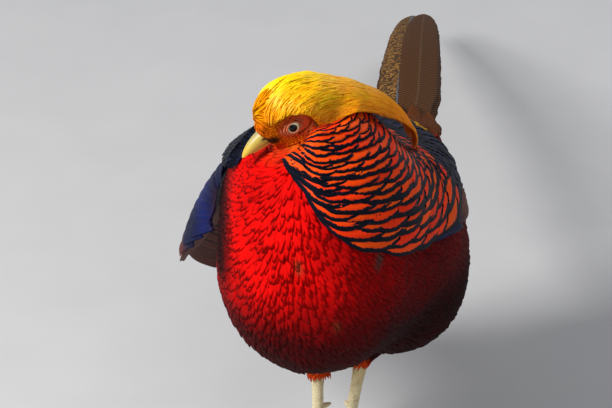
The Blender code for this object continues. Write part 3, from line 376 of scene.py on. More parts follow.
class Finish:
    """A material round one Principled shader, whose constants are set on its own sockets."""

    def __init__(self, name, **constants):
        self.material = bpy.data.materials.new(name)
        self.material.use_nodes = True
        self.tree = self.material.node_tree
        self.shader = self.tree.nodes["Principled BSDF"]
        for key, value in constants.items():
            self.shader.inputs[key.replace("_", " ")].default_value = value

    def node(self, kind, settings=None, inputs=None, output=0):
        """Any node: its settings first, then the values or links of its sockets."""
        made = self.tree.nodes.new("ShaderNode" + kind)
        for key, value in (settings or {}).items():
            setattr(made, key, value)
        for key, value in (inputs or {}).items():
            if isinstance(value, Value):
                self.tree.links.new(value.socket, made.inputs[key])
            else:
                made.inputs[key].default_value = value
        return Value(self, made.outputs[output])

    def carried_attribute(self, name="plumage", output=0):
        """An attribute that the piece carries."""
        return self.node("Attribute", {"attribute_name": name}, None, output)

    def place(self):
        """The place in the object's own frame."""
        return self.node("TexCoord", output=3)

    def chart(self, name="vane"):
        """One of the piece's own UV maps."""
        return self.node("UVMap", {"uv_map": name})

    def stretched(self, vector, scale):
        """A vector with each of its parts multiplied by its own number."""
        return self.node("VectorMath", {"operation": "MULTIPLY"}, {0: vector, 1: scale})

    def part(self, vector, which):
        """One part of a vector: 0, 1 or 2."""
        return self.node("SeparateXYZ", None, {0: vector}, which)

    def noise(self, vector, scale, detail=2.0):
        """Soft noise from 0 to 1, by one scale for all parts of the vector or one for each."""
        if isinstance(scale, tuple):
            vector, scale = self.stretched(vector, scale), 1.0
        return self.node("TexNoise", None, {"Vector": vector, "Scale": scale, "Detail": detail})

    def step(self, value, low, high, start=0.0, stop=1.0):
        """A value carried smoothly from one pair of marks to another."""
        return self.node("MapRange", {"interpolation_type": "SMOOTHSTEP"},
                         {"Value": value, "From Min": low, "From Max": high, "To Min": start, "To Max": stop})

    def quill(self, low, high):
        """A vane's own shaft: 1 at the middle of its width and 0 beyond the high mark, in centimetres."""
        return self.step(abs(self.part(self.chart(), 0)), low, high, 1.0, 0.0)

    def mix(self, share, first, second, how="MIX"):
        """Two colours mixed."""
        first, second = (value if isinstance(value, Value) else (*value, 1.0) for value in (first, second))
        return self.node("Mix", {"data_type": "RGBA", "blend_type": how}, {0: share, 6: first, 7: second}, 2)

    def tinted(self, share, base, tint):
        """A colour multiplied by a tint, by a share."""
        return self.mix(share, base, tint, "MULTIPLY")

    def paint(self, base=None, roughness=None, height=None, relief=0.3, depth=0.001):
        """Link what varies: the base colour, the roughness and a height that makes a bump."""
        for key, value in (("Base Color", base), ("Roughness", roughness)):
            if value is not None:
                self.tree.links.new(value.socket, self.shader.inputs[key])
        if height is not None:
            bump = self.node("Bump", None, {"Strength": relief, "Distance": depth, "Height": height})
            self.tree.links.new(bump.socket, self.shader.inputs["Normal"])
        return self.material


def finish_piece(piece, material, slot, *nodes):
    """Give a piece its material, let it ride on the bird, and hide the solids that it stands for. The slot is
    not used.
    """
    piece.data.materials.append(material)
    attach(piece, "root")
    if nodes:
        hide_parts(*nodes)


def thigh_size(share):
    """A thigh's radius by the share of the way down it."""
    return THIGH_RADIUS * np.interp(share, (0.0, 0.3, 0.55, 0.75, 0.9, 1.0, 1.2),
                                    (1.0, 0.92, 0.74, 0.55, 0.42, 0.36, 0.33))


def thigh_point(name, share, angle, lift):
    """A point by the share of the way from hip to ankle, the angle round the thigh and a height off its
    surface."""
    hip, ankle = THIGHS[name]
    across = unit(np.cross(ankle - hip, [0.0, 1.0, 0.0]))
    ring = np.cos(angle)[..., None] * across + np.sin(angle)[..., None] * np.cross(unit(ankle - hip), across)
    return hip + (ankle - hip) * share[..., None] + ring * (thigh_size(share) + lift)[..., None]


# Rays from the trunk's centre and from the head's meet the form a little under its surface, the thighs are
# tapered tubes, and a fine voxel remesh turns them into one closed form, eased afterwards.
poles = np.array([[0.0, 0.0, -1.0], [0.0, 0.0, 1.0]])
parts = []
for centre, field, rows, reach, first in (
        (TRUNK_CENTRE, lambda points: trunk_distance(points) + SKIN_DEPTH, 110, 0.25, False),
        (head_place(-0.002, 0.0, 0.0), lambda points: bird_distance(points) + SKIN_DEPTH, 90, 0.045, True)):
    parts.append(closed_rings(cast(centre, globe(rows, rows * 2), field, reach, first),
                              *cast(centre, poles, field, reach, first)))
for name in THIGHS:
    parts.append(closed_rings(thigh_point(name, np.linspace(0, 0.985, 24)[:, None], around(28), -0.0008)))
skin = put_mesh("skin", *joined(parts))
remesh = skin.modifiers.new("one form", "REMESH")
remesh.mode = "VOXEL"
remesh.voxel_size = VOXEL
ease = skin.modifiers.new("ease", "SMOOTH")
ease.factor = 0.5
ease.iterations = 3
made = bpy.data.meshes.new_from_object(skin.evaluated_get(bpy.context.evaluated_depsgraph_get()))
skin.modifiers.clear()
skin.data = made
made.shade_smooth()
add_colour(skin, skin_colour_and_shade(points_of(skin)))
add_map(skin, "OFBake", unwrap(points_of(skin)))

skin_finish = Finish("bare_skin", Roughness=0.62, Specular_IOR_Level=0.3)
grain = skin_finish.noise(skin_finish.place(), 900.0, 3.0)
wrinkles = skin_finish.noise(skin_finish.place(), (220.0, 220.0, 520.0), 2.0)
skin_paint = skin_finish.tinted(grain * 0.5, skin_finish.carried_attribute(), (0.55, 0.35, 0.30))
skin_material = skin_finish.paint(skin_paint, 0.5 + grain * 0.25, grain + wrinkles, 0.5, 0.0012)
finish_piece(skin, skin_material, "body", "torso", "neck", "head", "thigh_left", "thigh_right")

# The body's contour feathers. Each is a soft vane with a frayed tip, rooted in the skin, and lies down and
# back over the next. On the model they are glued on one by one, from the thighs and vent forward to the
# throat.
seeds = np.random.default_rng(11)
NAPE = np.array([-0.010, -0.045, 0.300])
# A feather's patch on the unwrap, and the centimetres in a metre, in which the vane map is written.
PATCH, CENTIMETRES = 0.003, 100.0


def each(values):
    """One value for each feather, as a column that its grid of points can take."""
    return values[:, None, None]


def vane_axes(rows, columns):
    """A vane's own axes: 0 to 1 from root to tip, and -1 to 1 across."""
    return np.linspace(0, 1, rows)[None, :, None], np.linspace(-1, 1, columns)[None, None]


def swell(v, u, phase=0.0, span=1.0):
    """How full a vane is: the sine of its length from a phase over a span, and across it the root of 1 -
    u^2."""
    return np.sqrt(np.sin(np.pi * np.clip(phase + span * v, 0, 1)) * (1 - u ** 2))


def close_vanes(under, over):
    """Closed thin vanes from grids of their two faces, which share the points of their rim. Also gives a
    function that lists a grid's values in the order of the points."""
    count, rows, columns = over.shape[:3]
    top = np.arange(rows * columns).reshape(rows, columns)
    bottom = top.copy()
    bottom[1:-1, 1:-1] = rows * columns + np.arange((rows - 2) * (columns - 2)).reshape(rows - 2, columns - 2)
    cells = lambda index: np.stack([index[:-1, :-1], index[:-1, 1:], index[1:, 1:], index[1:, :-1]], -1)
    one = np.concatenate([cells(top).reshape(-1, 4), cells(bottom).reshape(-1, 4)[:, ::-1]])

    def listed(first, second=None):
        second = first if second is None else second
        flat = (count, -1, *first.shape[3:])
        whole = np.concatenate([first.reshape(flat), second[:, 1:-1, 1:-1].reshape(flat)], axis=1)
        return whole.reshape(-1, *first.shape[3:])

    size = rows * columns + (rows - 2) * (columns - 2)
    return listed(over, under), (one[None] + size * each(np.arange(count))).reshape(-1, 4), listed


def put_coat(name, under, over, roots, colours, across, from_tip, material, slot, *nodes):
    """A coat piece: closed vanes, each with a patch 0.003 across at its root's place on the skin's unwrap,
    its colours, with painted shade or highlight where they hold them, and a map of where on its own vane a
    point is, in centimetres across and from the tip."""
    points, faces, listed = close_vanes(under, over)
    piece = put_mesh(name, points, faces)
    rows, columns = over.shape[1:3]
    cell = np.stack(np.meshgrid(np.linspace(-0.5, 0.5, columns), np.linspace(-0.5, 0.5, rows)), axis=-1)
    add_map(piece, "OFBake", listed(roots[:, None, None] + cell[None] * PATCH))
    spots = np.stack([np.broadcast_to(values, over.shape[:3]) for values in (across, from_tip)], axis=-1)
    add_map(piece, "vane", listed(spots * CENTIMETRES))
    add_colour(piece, listed(np.broadcast_to(colours, over.shape)))
    finish_piece(piece, material, slot, *nodes)
    return piece


def along_line(line, share):
    """Places between the stations of each line: line is N x stations x 3, share is N x rows x columns, 0 to
    1."""
    mark = np.clip(share, 0, 1) * (line.shape[1] - 1.001)
    low = mark.astype(int)
    part = (mark - low)[..., None]
    which = each(np.arange(len(line)))
    return line[which, low] * (1 - part) + line[which, low + 1] * part


def flat_on(way, normals):
    """A direction laid flat on a surface."""
    return unit(way - normals * np.sum(way * normals, axis=-1, keepdims=True))


def flow(points, normals):
    """The lie of the coat: away from the nape and towards the tail, laid flat on the skin."""
    return flat_on(unit(points - NAPE) + np.array([0.0, 0.85, 0.0]), normals)


def outward(points, step=0.0008):
    """The direction in which the bird's distance grows, from samples at the corners of a small
    tetrahedron."""
    corners = np.array([[1, -1, -1], [-1, -1, 1], [-1, 1, -1], [1, 1, 1]], dtype=float)
    return unit(sum(corner * bird_distance(points + corner * step)[..., None] for corner in corners))


def lay_on_flesh(roots, length, half, rise, way, rows, columns, fray, round_tip, thick, camber):
    """Vanes that follow the skin. Each starts at its root and is walked down the lie in even steps, put back
    on the skin after each. Columns across it end at their own reach: a rounded tip less a random notch."""
    count, stations = len(roots), 6
    line, side, out = (np.empty((count, stations, 3)) for _ in range(3))
    place = roots.copy()
    for k in range(stations):
        normal = outward(place)
        place = place - normal * bird_distance(place)[:, None]
        ahead = way(place, normal)
        line[:, k], side[:, k], out[:, k] = place, np.cross(ahead, normal), normal
        place = place + ahead * (length / (stations - 1))[:, None]
    v, u = vane_axes(rows, columns)
    notch = np.where(np.arange(columns) % 2 == 1, 0.0, fray) * seeds.uniform(0.5, 1.2, (count, columns))
    notch = notch + seeds.uniform(0, fray * 0.5, (count, columns))
    reach = (1 - round_tip * u[:, 0] ** 2 - notch)[:, None]
    share = v * reach
    across = u * np.sin(np.pi * np.clip(0.16 + 0.70 * v, 0, 1)) ** 0.7 * each(half)
    lift = -0.0017 + (each(rise) + 0.0017) * share ** 0.8 - across ** 2 / 0.11 - camber * u ** 2
    normal = unit(along_line(out, share))
    under = along_line(line, share) + unit(along_line(side, share)) * across[..., None]
    under = under + normal * lift[..., None]
    over = under + normal * (thick * swell(v, u))[..., None]
    return under, over, across, (reach - share) * each(length), share


def even_directions(count):
    """Directions spread evenly over a ball: latitudes in equal steps of height, longitudes by the golden
    angle."""
    index = np.arange(count) + 0.5
    height = 1 - 2 * index / count
    level = np.sqrt(1 - height ** 2)
    turn = index * GOLDEN_ANGLE
    return np.stack([level * np.cos(turn), level * np.sin(turn), height], axis=-1)


# The cape's polar angles are worked out here, because the coat under the cape is left off.
CAPE_POLE = unit(np.array([-0.012, -0.036, 0.280]) - TRUNK_CENTRE)
CAPE_EAST = unit(np.array([1.0, 0.0, 0.0]) - CAPE_POLE * CAPE_POLE[0])
CAPE_NORTH = np.cross(CAPE_POLE, CAPE_EAST)
CAPE_AZIMUTHS = (-88, -74, -63, -57, -48, -40, -25, -5, 10, 25, 45, 70, 90, 120, 150, 180, 205)
CAPE_ENDS = (24, 34, 46, 58, 66, 73, 83, 95, 100, 103, 99, 90, 84, 76, 66, 54, 40)


def under_cape(points, margin):
    """Whether a place lies under the cape, further than a margin from its hem, by its angles in degrees from
    the cape's pole and round it, the second from -120 to 240."""
    direction = unit(points - TRUNK_CENTRE)
    theta = np.degrees(np.arccos(np.clip(direction @ CAPE_POLE, -1, 1)))
    phi = np.degrees(np.arctan2(direction @ CAPE_NORTH, direction @ CAPE_EAST))
    phi = np.where(phi < -120, phi + 360, phi)
    return theta < np.interp(phi, CAPE_AZIMUTHS, CAPE_ENDS, left=0, right=0) - margin


# Each wing is a thin shell standing off the flank: its side reach falls off above and behind a level.
WINGS = {
    "left": dict(side=1, reach=0.0725, level=0.185, slope=0.30, arch=4.0, bend=5.0, wrist=(-0.030, 0.214),
                 droop=math.radians(14), spread=1.0, middle=0.004, half_height=0.024, rim=0.060),
    "right": dict(side=-1, reach=0.1035, level=0.170, slope=0.27, arch=4.6, bend=3.2, wrist=(-0.026, 0.193),
                  droop=math.radians(30), spread=1.05, middle=0.003, half_height=0.039, rim=0.080),
}


def under_wing(points):
    """Whether a place on the flank lies under the middle of a folded wing."""
    hidden = np.zeros(points.shape[:-1], dtype=bool)
    for wing in WINGS.values():
        y, z = points[..., 1] - wing["wrist"][0], points[..., 2] - wing["wrist"][1]
        sine, cosine = math.sin(wing["droop"]) / wing["spread"], math.cos(wing["droop"]) / wing["spread"]
        along, up = y * cosine - z * sine, y * sine + z * cosine - wing["middle"]
        inside = (along > 0.004) & (along < 0.085) & (np.abs(up) < wing["half_height"] * 0.62)
        hidden |= inside & (points[..., 0] * wing["side"] > 0.02)
    return hidden


def body_zone(points):
    """Which coat piece a root belongs to: 0 breast, 1 left flank, 2 right flank, 3 back, 4 vent, 5 belly."""
    x, y, z = np.moveaxis(points, -1, 0)
    zone = np.where(x > 0.006, 1, 2)
    zone = np.where((y < -0.012) & (z > 0.115), np.where(z > 0.168, 0, 5), zone)
    zone = np.where((y > 0.015) & (z > 0.178), 3, zone)
    return np.where((y > 0.070) & (z <= 0.178), 4, zone)


feather_finish = Finish("soft_plumage", Roughness=0.75, Specular_IOR_Level=0.06)
strands = feather_finish.noise(feather_finish.chart(), (26.0, 2.2, 0.0), 2.0)
# Large soft patches of painted shade, as of folds in the coat, darken the colours by a noise of the place.
fold_shade = feather_finish.noise(feather_finish.place(), 42.0, 2.0)
soft_paint = feather_finish.tinted(feather_finish.step(strands, 0.42, 0.62, 0.34, 0.0),
                                   feather_finish.carried_attribute(), (0.30, 0.10, 0.10))
soft_paint = feather_finish.tinted(feather_finish.step(fold_shade, 0.46, 0.66, 0.0, 0.38), soft_paint,
                                   (0.42, 0.20, 0.20))
soft_plumage = feather_finish.paint(soft_paint, None, strands, 0.45, 0.0006)

COAT_COUNT, THROAT_COUNT = 10500, 1000
# The coat's pieces, in the order of body_zone's numbers. The right flank's and the vent's feathers are
# longer.
COAT_NAMES = ("breast_coat", "left_coat", "right_coat", "back_coat", "vent_coat", "belly_coat")
ways = even_directions(COAT_COUNT)
body_roots = cast(TRUNK_CENTRE, unit(ways + seeds.normal(0, 0.009, ways.shape)))
bare = under_cape(body_roots, 20.0) | under_wing(body_roots) | (body_roots[:, 1] > 0.138)
bare |= np.linalg.norm(body_roots - head_place(-0.002, 0.0, 0.004), axis=1) < 0.025
throat_centre = np.array([-0.014, -0.040, 0.246])
ways = even_directions(THROAT_COUNT)
throat_roots = cast(throat_centre, ways, bird_distance, 0.06, True)
forward, _, up = head_steps(throat_roots)
on_right = ways[:, 0] < -0.25
kept = ((ways[:, 1] < -0.05) | on_right) & (ways[:, 2] > -0.35)
kept &= np.linalg.norm(throat_roots - throat_centre, axis=1) < np.where(on_right, 0.0595, 0.046)
kept &= (up < np.where(forward < -0.017, 0.006, -0.0085)) & (forward < 0.011)
body_roots = np.concatenate([body_roots[~bare], throat_roots[kept]])
zones = body_zone(body_roots)
for number, name in enumerate(COAT_NAMES):
    roots = body_roots[zones == number]
    x, y, z = roots.T
    length = seeds.uniform(0.0150, 0.0220, len(roots)) * (1.15 if number in (2, 4) else 1.0)
    half = seeds.uniform(0.0026, 0.0042, len(roots))
    folds = np.sin(150 * x + 60 * z + 1.0) * np.sin(115 * z - 80 * y)
    folds = folds * fade(0.150 - np.abs(x), 0.0, 0.05) * (z < 0.235)
    rise = seeds.uniform(-0.0005, 0.0005, len(roots)) + 0.0009 * folds
    *vanes, across, from_tip, share = lay_on_flesh(roots, length, half, rise, flow, 5, 5, 0.15, 0.6, 0.0003,
                                                   0.0003)
    tone = seeds.uniform(0.90, 1.06, (len(roots), 1, 1, 1)) * (0.84 + 0.18 * share[..., None])
    # Painted shade of the folds: the tone is lighter on their ridges and darker in their valleys.
    tone = tone * (1 + 0.16 * each(folds)[..., None])
    put_coat(name, *vanes, unwrap(roots), skin_colour_and_shade(vanes[1]) * tone, across, from_tip, soft_plumage, "body")

# The thighs' short feathers lie down the shank in rows, and end in a rust-red cuff over its top.
THIGH_COUNT = 520
for name in THIGHS:
    share = np.linspace(0.30, 0.99, THIGH_COUNT) ** 0.9
    turn = np.arange(THIGH_COUNT) * GOLDEN_ANGLE
    length = seeds.uniform(0.009, 0.0125, THIGH_COUNT) / np.linalg.norm(THIGHS[name][1] - THIGHS[name][0])
    half = seeds.uniform(0.0014, 0.0024, THIGH_COUNT)
    v, u = vane_axes(5, 5)
    tips = 1 - 0.3 * u ** 2 - seeds.uniform(0, 0.3, (THIGH_COUNT, 1, 5))
    down = each(share) + each(length) * v * tips
    lift = -0.0014 + 0.0026 * v * tips
    angle = each(turn) + u * np.sin(np.pi * (0.15 + 0.72 * v)) * each(half) / (thigh_size(down) + lift)
    under = thigh_point(name, down, angle, lift)
    over = thigh_point(name, down, angle, lift + 0.0006 * swell(v, u))
    cuff = fade(each(share), 0.78, 0.92)[..., None]
    shade = (body_colour_and_shade(over) * (1 - cuff) + painted((214, 70, 16)) * cuff)
    shade = shade * seeds.uniform(0.75, 1.1, (THIGH_COUNT, 1, 1, 1))
    chart = np.stack([turn / FULL_TURN % 1.0, share], axis=-1)
    put_coat("thigh_coat_" + name, under, over, chart, shade, u * 0.002, (1 - v) * 0.01, soft_plumage, "thigh")

# The face. Tiny bristle feathers cover lores, cheeks and ears, and round each eye the skin is bare and red,
# with fleshy lids. The model maker sets the tufts last, with tweezers, after the eyes are in.
FACE_COUNT = 3600
face_centre = head_place(-0.002, 0.0, -0.001)
face_roots = cast(face_centre, even_directions(FACE_COUNT), bird_distance, 0.05, True)
forward, side, up = head_steps(face_roots)
kept = oval(forward, up, (-0.002, 0.0006), (0.0105, 0.0068)) > 1.0
kept &= up < 0.016 + 0.016 * fade(forward, -0.004, 0.006)
kept &= (forward < 0.012) | (oval(side, up, (0.0, -0.0062), (0.0062, 0.0072)) > 1.0)
kept &= forward > np.where(side < 0.0, -0.042, -0.024)
kept &= np.linalg.norm(face_roots - face_centre, axis=1) < np.where(side < 0.0, 0.050, 0.036)
face_roots = face_roots[kept]
count = len(face_roots)
forward, _, up = head_steps(face_roots)
length = seeds.uniform(0.0034, 0.0052, count) + 0.0035 * fade(up, 0.001, 0.006)
length = length + 0.0070 * np.maximum(fade(up, 0.006, 0.018), fade(-forward, 0.016, 0.024))
back_and_down = lambda points, normals: flat_on(-BILLWARD - CROWNWARD * 0.25, normals)
half = seeds.uniform(0.0008, 0.0012, count)
rise = seeds.uniform(0.0001, 0.0006, count)
under, over, across, from_tip, _ = lay_on_flesh(face_roots, length, half, rise, back_and_down, 4, 3, 0.1, 0.35,
                                                0.0004, 0.0001)
shade = face_colour(over) * seeds.uniform(1.00, 1.30, (count, 1, 1, 1))
put_coat("face_coat", under, over, unwrap(face_roots, face_centre, HEAD_AXES), shade, across, from_tip,
         soft_plumage, "crest")

# Three fleshy folds round each eye, each a ring that is wider than it is tall and drawn out to a corner
# behind: radius, half thickness, and how far it lies inward of the eye's own rim.
LID_FOLDS = ((0.00455, 0.00075, 0.0), (0.0060, 0.00085, 0.0011), (0.0076, 0.0009, 0.0024))
lid_finish = Finish("lid_skin", Roughness=0.45, Specular_IOR_Level=0.45, Subsurface_Weight=0.08)
creases = lid_finish.noise(lid_finish.place(), 1600.0, 2.0)
lid_material = lid_finish.paint(lid_finish.mix(creases * 0.5, (0.62, 0.13, 0.045), (0.26, 0.035, 0.018)), None,
                                creases, 0.4, 0.0004)
for name, side in (("left", 1), ("right", -1)):
    turn, bend = around(72), around(10).T
    index = np.arange(720).reshape(10, 72)
    ahead, aside = np.roll(index, -1, axis=0), np.roll(index, -1, axis=1)
    cells = np.stack([index, aside, np.roll(ahead, -1, axis=1), ahead], axis=-1).reshape(-1, 4)
    folds = []
    for radius, wire, inward in LID_FOLDS:
        behind = np.abs(turn - math.pi)
        corner = 1 + 0.16 * np.exp(-(behind / 0.35) ** 2) + 0.10 * np.exp(-((behind - math.pi) / 0.3) ** 2)
        pucker = 1 + 0.05 * np.sin(turn * 17 + radius * 4000) + 0.04 * np.sin(turn * 9)
        across = radius * corner + wire * pucker * np.cos(bend)
        off = EYE_SIDE + math.sqrt(EYE_RADIUS ** 2 - 0.0043 ** 2) - inward + wire * pucker * np.sin(bend)
        ring = head_place(across * np.cos(turn), side * off, across * np.sin(turn) * 0.86)
        folds.append((ring.reshape(-1, 3), cells, np.zeros((0, 3), dtype=int)))
    finish_piece(put_mesh("lids_" + name, *joined(folds)), lid_material, "crest")

# The eyes. Each is a blown glass ball, coloured from behind: a black pupil in a pale straw iris with fine
# radial lines, darker at its rim. It is set in the skull with only the part within the lids to be seen.
eye_finish = Finish("glass_eye", Roughness=0.08, Specular_IOR_Level=0.22, Coat_Weight=0.2, Coat_Roughness=0.02)
gaze_chart = eye_finish.chart("gaze")
from_pupil = eye_finish.part(gaze_chart, 0)
rays = eye_finish.noise(gaze_chart, (2.0, 90.0, 0.0), 1.0)
iris = eye_finish.mix(rays, (0.84, 0.86, 0.58), (0.66, 0.66, 0.34))
iris = eye_finish.mix(eye_finish.step(from_pupil, 0.235, 0.285), iris, (0.05, 0.03, 0.015))
eye_paint = eye_finish.mix(eye_finish.step(from_pupil, 0.146, 0.160), (0.001, 0.001, 0.002), iris)
eye_material = eye_finish.paint(eye_paint)
for name, side in (("left", 1), ("right", -1)):
    centre = head_place(0.0, side * EYE_SIDE, 0.0)
    gaze = unit(LEFTWARD * side + BILLWARD * 0.16 + CROWNWARD * 0.10)
    across = unit(np.cross(gaze, SKYWARD))
    axes = np.stack([across, np.cross(gaze, across), gaze])
    rings = centre + globe(40, 48) @ axes * EYE_RADIUS
    front = gaze * EYE_RADIUS
    eye = put_mesh("glass_eye_" + name, *closed_rings(rings, centre - front, centre + front))
    right, down, ahead = axes @ (points_of(eye) - centre).T / EYE_RADIUS
    add_map(eye, "gaze", np.stack([np.arccos(np.clip(ahead, -1, 1)) / math.pi,
                                   np.arctan2(down, right) / FULL_TURN + 0.5], axis=1))
    finish_piece(eye, eye_material, "eye", "eye_" + name)

# The bill. Upper and lower halves are pale horn, cast in resin from a real one: the upper arches down over
# the lower to a blunt hook, and has a slit of a nostril under a soft flap on either side.
BILL_ROOT, BILL_TIP, BILL_TIP_DROP = 0.0130, 0.0365, 0.0108
BILL_HALF_WIDTH, BILL_HALF_HEIGHT = 0.0052, 0.0056
bill_finish = Finish("horn_bill", Roughness=0.34, Specular_IOR_Level=0.5, Subsurface_Weight=0.05)
layers = bill_finish.noise(bill_finish.place(), (180.0, 180.0, 900.0), 3.0)
bill_paint = bill_finish.tinted(layers * 0.4, bill_finish.carried_attribute(), (0.42, 0.32, 0.12))
bill_material = bill_finish.paint(bill_paint, 0.28 + layers * 0.25, layers, 0.25, 0.0003)


def mouth_level(forward):
    """How far up the head the mouth's line lies: it falls 0.13 for each step forward."""
    return -0.0062 - 0.13 * (forward - BILL_ROOT)


def bump_at(forward, up, centre, half):
    """A soft mound: e to the power of minus the square of an oval's level."""
    return np.exp(-oval(forward - BILL_ROOT, up, centre, half) ** 2)


share = np.linspace(-0.20, 0.985, 44)[:, None]
held = np.maximum(share, 0.0)
slim = np.sqrt(np.maximum(1.0 - held ** 1.7, 0.004))
turn = around(40)
forward = BILL_ROOT + (BILL_TIP - BILL_ROOT) * share + 0.0 * turn
middle = -BILL_TIP_DROP * (0.30 + 0.10 * held + 0.60 * held ** 2.2)
ridge = np.sign(np.sin(turn)) * np.abs(np.sin(turn)) ** 0.9
up = np.maximum(middle + BILL_HALF_HEIGHT * slim * ridge, mouth_level(forward) + 0.0002 - 0.0016 * held ** 6)
side = BILL_HALF_WIDTH * slim * np.cos(turn)
slit = (0.0010 * bump_at(forward, up, (0.0052, -0.0032), (0.0019, 0.0008))
        - 0.0005 * bump_at(forward, up, (0.0044, -0.0015), (0.0026, 0.0013)))
side = side - np.sign(side) * slit * (np.abs(side) > 0.001)
upper = put_mesh("upper_bill", *closed_rings(head_place(forward, side, up)))
forward, side, up = head_steps(points_of(upper))
share = (forward - BILL_ROOT) / (BILL_TIP - BILL_ROOT)
# The nostril's slit is painted dark brown: painted shade in the recess.
nostril_shade = np.clip(bump_at(forward, up, (0.0052, -0.0030), (0.0024, 0.0011)) * 1.5, 0, 1)
add_colour(upper, painted((214, 190, 84),
                          (146, 154, 138, fade(up + BILL_TIP_DROP * share ** 2 * 0.8, -0.001, 0.004)),
                          (222, 184, 60, fade(share, 0.55, 0.95)),
                          (46, 30, 22, nostril_shade * fade(np.abs(side), 0.0015, 0.003))))
finish_piece(upper, bill_material, "bill", "bill_upper")

forward = BILL_ROOT - 0.005 + 0.0225 * np.linspace(0, 1, 30)[:, None] + 0.0 * turn
marks = (-0.005, 0.0, 0.008, 0.014, 0.0175)
middle = np.interp(forward - BILL_ROOT, marks, (-0.0060, -0.0064, -0.0078, -0.0092, -0.0101))
width = np.interp(forward - BILL_ROOT, marks, (0.0044, 0.0044, 0.0038, 0.0026, 0.0009))
up = np.minimum(middle + 0.80 * width * np.sin(turn), mouth_level(forward) - 0.0002)
lower = put_mesh("lower_bill", *closed_rings(head_place(forward, width * np.cos(turn), up)))
forward = head_steps(points_of(lower))[0]
add_colour(lower, painted((206, 176, 84), (206, 96, 60, fade(0.004 - (forward - BILL_ROOT), 0.0, 0.004))))
finish_piece(lower, bill_material, "bill", "bill_lower")

# The wings, folded against the flanks. On a firm shoulder lie small coverts, then longer ones over the roots
# of the flight feathers: navy at the shoulder's rim and on the inner feathers, dark maroon between, rust
# brown at the tips.
WING_BASE_MIDDLE, WING_BASE_HALF, WING_ROW_HEIGHT = 0.036, 0.054, 0.031
WING_MARKS = np.arange(-0.13, 0.22, 0.0025), np.arange(0.06, 0.29, 0.0025)
# Each row's name and count, the lowest feather's root and tip and the highest one's as places along and up
# the wing, their half width, and the lift off the wing at root and tip.
WING_ROWS = (
    ("flight", 13, (0.046, -0.023), (0.140, -0.030), (0.044, 0.020), (0.098, 0.030),
     0.0040, (-0.0016, 0.0022)),
    ("greater", 11, (0.016, -0.024), (0.070, -0.028), (0.020, 0.022), (0.066, 0.029),
     0.0042, (-0.0012, 0.0024)),
    ("middle", 11, (0.004, -0.022), (0.046, -0.026), (0.008, 0.022), (0.046, 0.029),
     0.0042, (-0.0010, 0.0026)),
    ("lesser", 10, (-0.006, -0.019), (0.026, -0.024), (-0.002, 0.020), (0.028, 0.028),
     0.0044, (-0.0010, 0.0028)),
    ("small", 10, (-0.012, -0.014), (0.010, -0.020), (-0.008, 0.016), (0.014, 0.026),
     0.0040, (-0.0010, 0.0026)),
    ("rim", 9, (-0.017, -0.010), (-0.001, -0.016), (-0.014, 0.010), (0.002, 0.023),
     0.0036, (-0.0010, 0.0022)),
)


def between(grid, marks, first, second):
    """A grid's value between its even places, from the four nearest, each weighted by its nearness."""
    a, b = (np.clip((value - mark[0]) / (mark[1] - mark[0]), 0, len(mark) - 1.001)
            for value, mark in zip((first, second), marks))
    i, j = a.astype(int), b.astype(int)
    p, q = a - i, b - j
    near = grid[i, j] * (1 - q) + grid[i, j + 1] * q
    far = grid[i + 1, j] * (1 - q) + grid[i + 1, j + 1] * q
    return near * (1 - p) + far * p


def side_reach(sign):
    """How far the trunk reaches to one side at each place fore and aft and up."""
    y, z = np.meshgrid(*WING_MARKS, indexing="ij")
    origins = np.stack([np.zeros_like(y), y, z], axis=-1)
    return crossing(origins, np.array([float(sign), 0.0, 0.0]), trunk_distance, 0.12, 40)


def wing_point(wing, along, up, lift):
    """A point of the folded wing. Its place is the wrist plus the two steps, turned by the droop. Its side
    reach is a level's reach less a slope, an arch and a bend, and over the flank it rounds down to it at the
    top and front."""
    along, up = np.broadcast_arrays(along, up)
    sine, cosine = math.sin(wing["droop"]), math.cos(wing["droop"])
    y = wing["wrist"][0] + (along * cosine + up * sine) * wing["spread"]
    z = wing["wrist"][1] + (-along * sine + up * cosine) * wing["spread"]
    rise = z - wing["level"]
    reach = wing["reach"] - wing["slope"] * rise - wing["arch"] * np.maximum(rise, 0.0) ** 2
    reach = reach - wing["bend"] * (y - 0.012) ** 2
    flesh = between(wing["flank"], WING_MARKS, y, z)
    to_front, to_top = (WING_BASE_MIDDLE - along) / WING_BASE_HALF, (up - wing["middle"]) / wing["half_height"]
    edge = np.clip(np.maximum(to_front, to_top), 0, 1)
    held = flesh + np.maximum((reach - flesh) * np.sqrt(1.0 - 0.94 * edge ** 4), 0.0030)
    reach = np.where(flesh > 0.004, held, reach) + lift
    return np.stack([wing["side"] * reach, y, z], axis=-1)


def wing_colour(points, wing, along, up):
    """Navy round the outer rim and over the shoulder, maroon-black on the coverts within, rust brown low
    down, and a painted highlight of brighter blue just past the rim."""
    z = points[..., 2]
    past_rim = np.abs(aslant(points)) - wing["rim"]
    navy = fade(past_rim, 0.0, 0.008) + fade(up / wing["half_height"], 0.25, 0.75) + fade(z, 0.205, 0.220)
    # A painted highlight: a spot of brighter blue just past the rim, high on the wing.
    painted_highlight = np.exp(-((past_rim - 0.010) / 0.006) ** 2 - ((z - 0.196) / 0.012) ** 2)
    brown = fade(0.172 - z, 0.0, 0.014) * fade(along, -0.010, 0.010) + fade(along, 0.065, 0.095)
    return painted((34, 7, 13),
                   (11, 17, 54, np.clip(navy, 0, 1)),
                   (16, 40, 132, painted_highlight * 0.4 * fade(-z, -0.218, -0.205)),
                   (106, 40, 12, np.clip(brown, 0, 1) * 0.9))


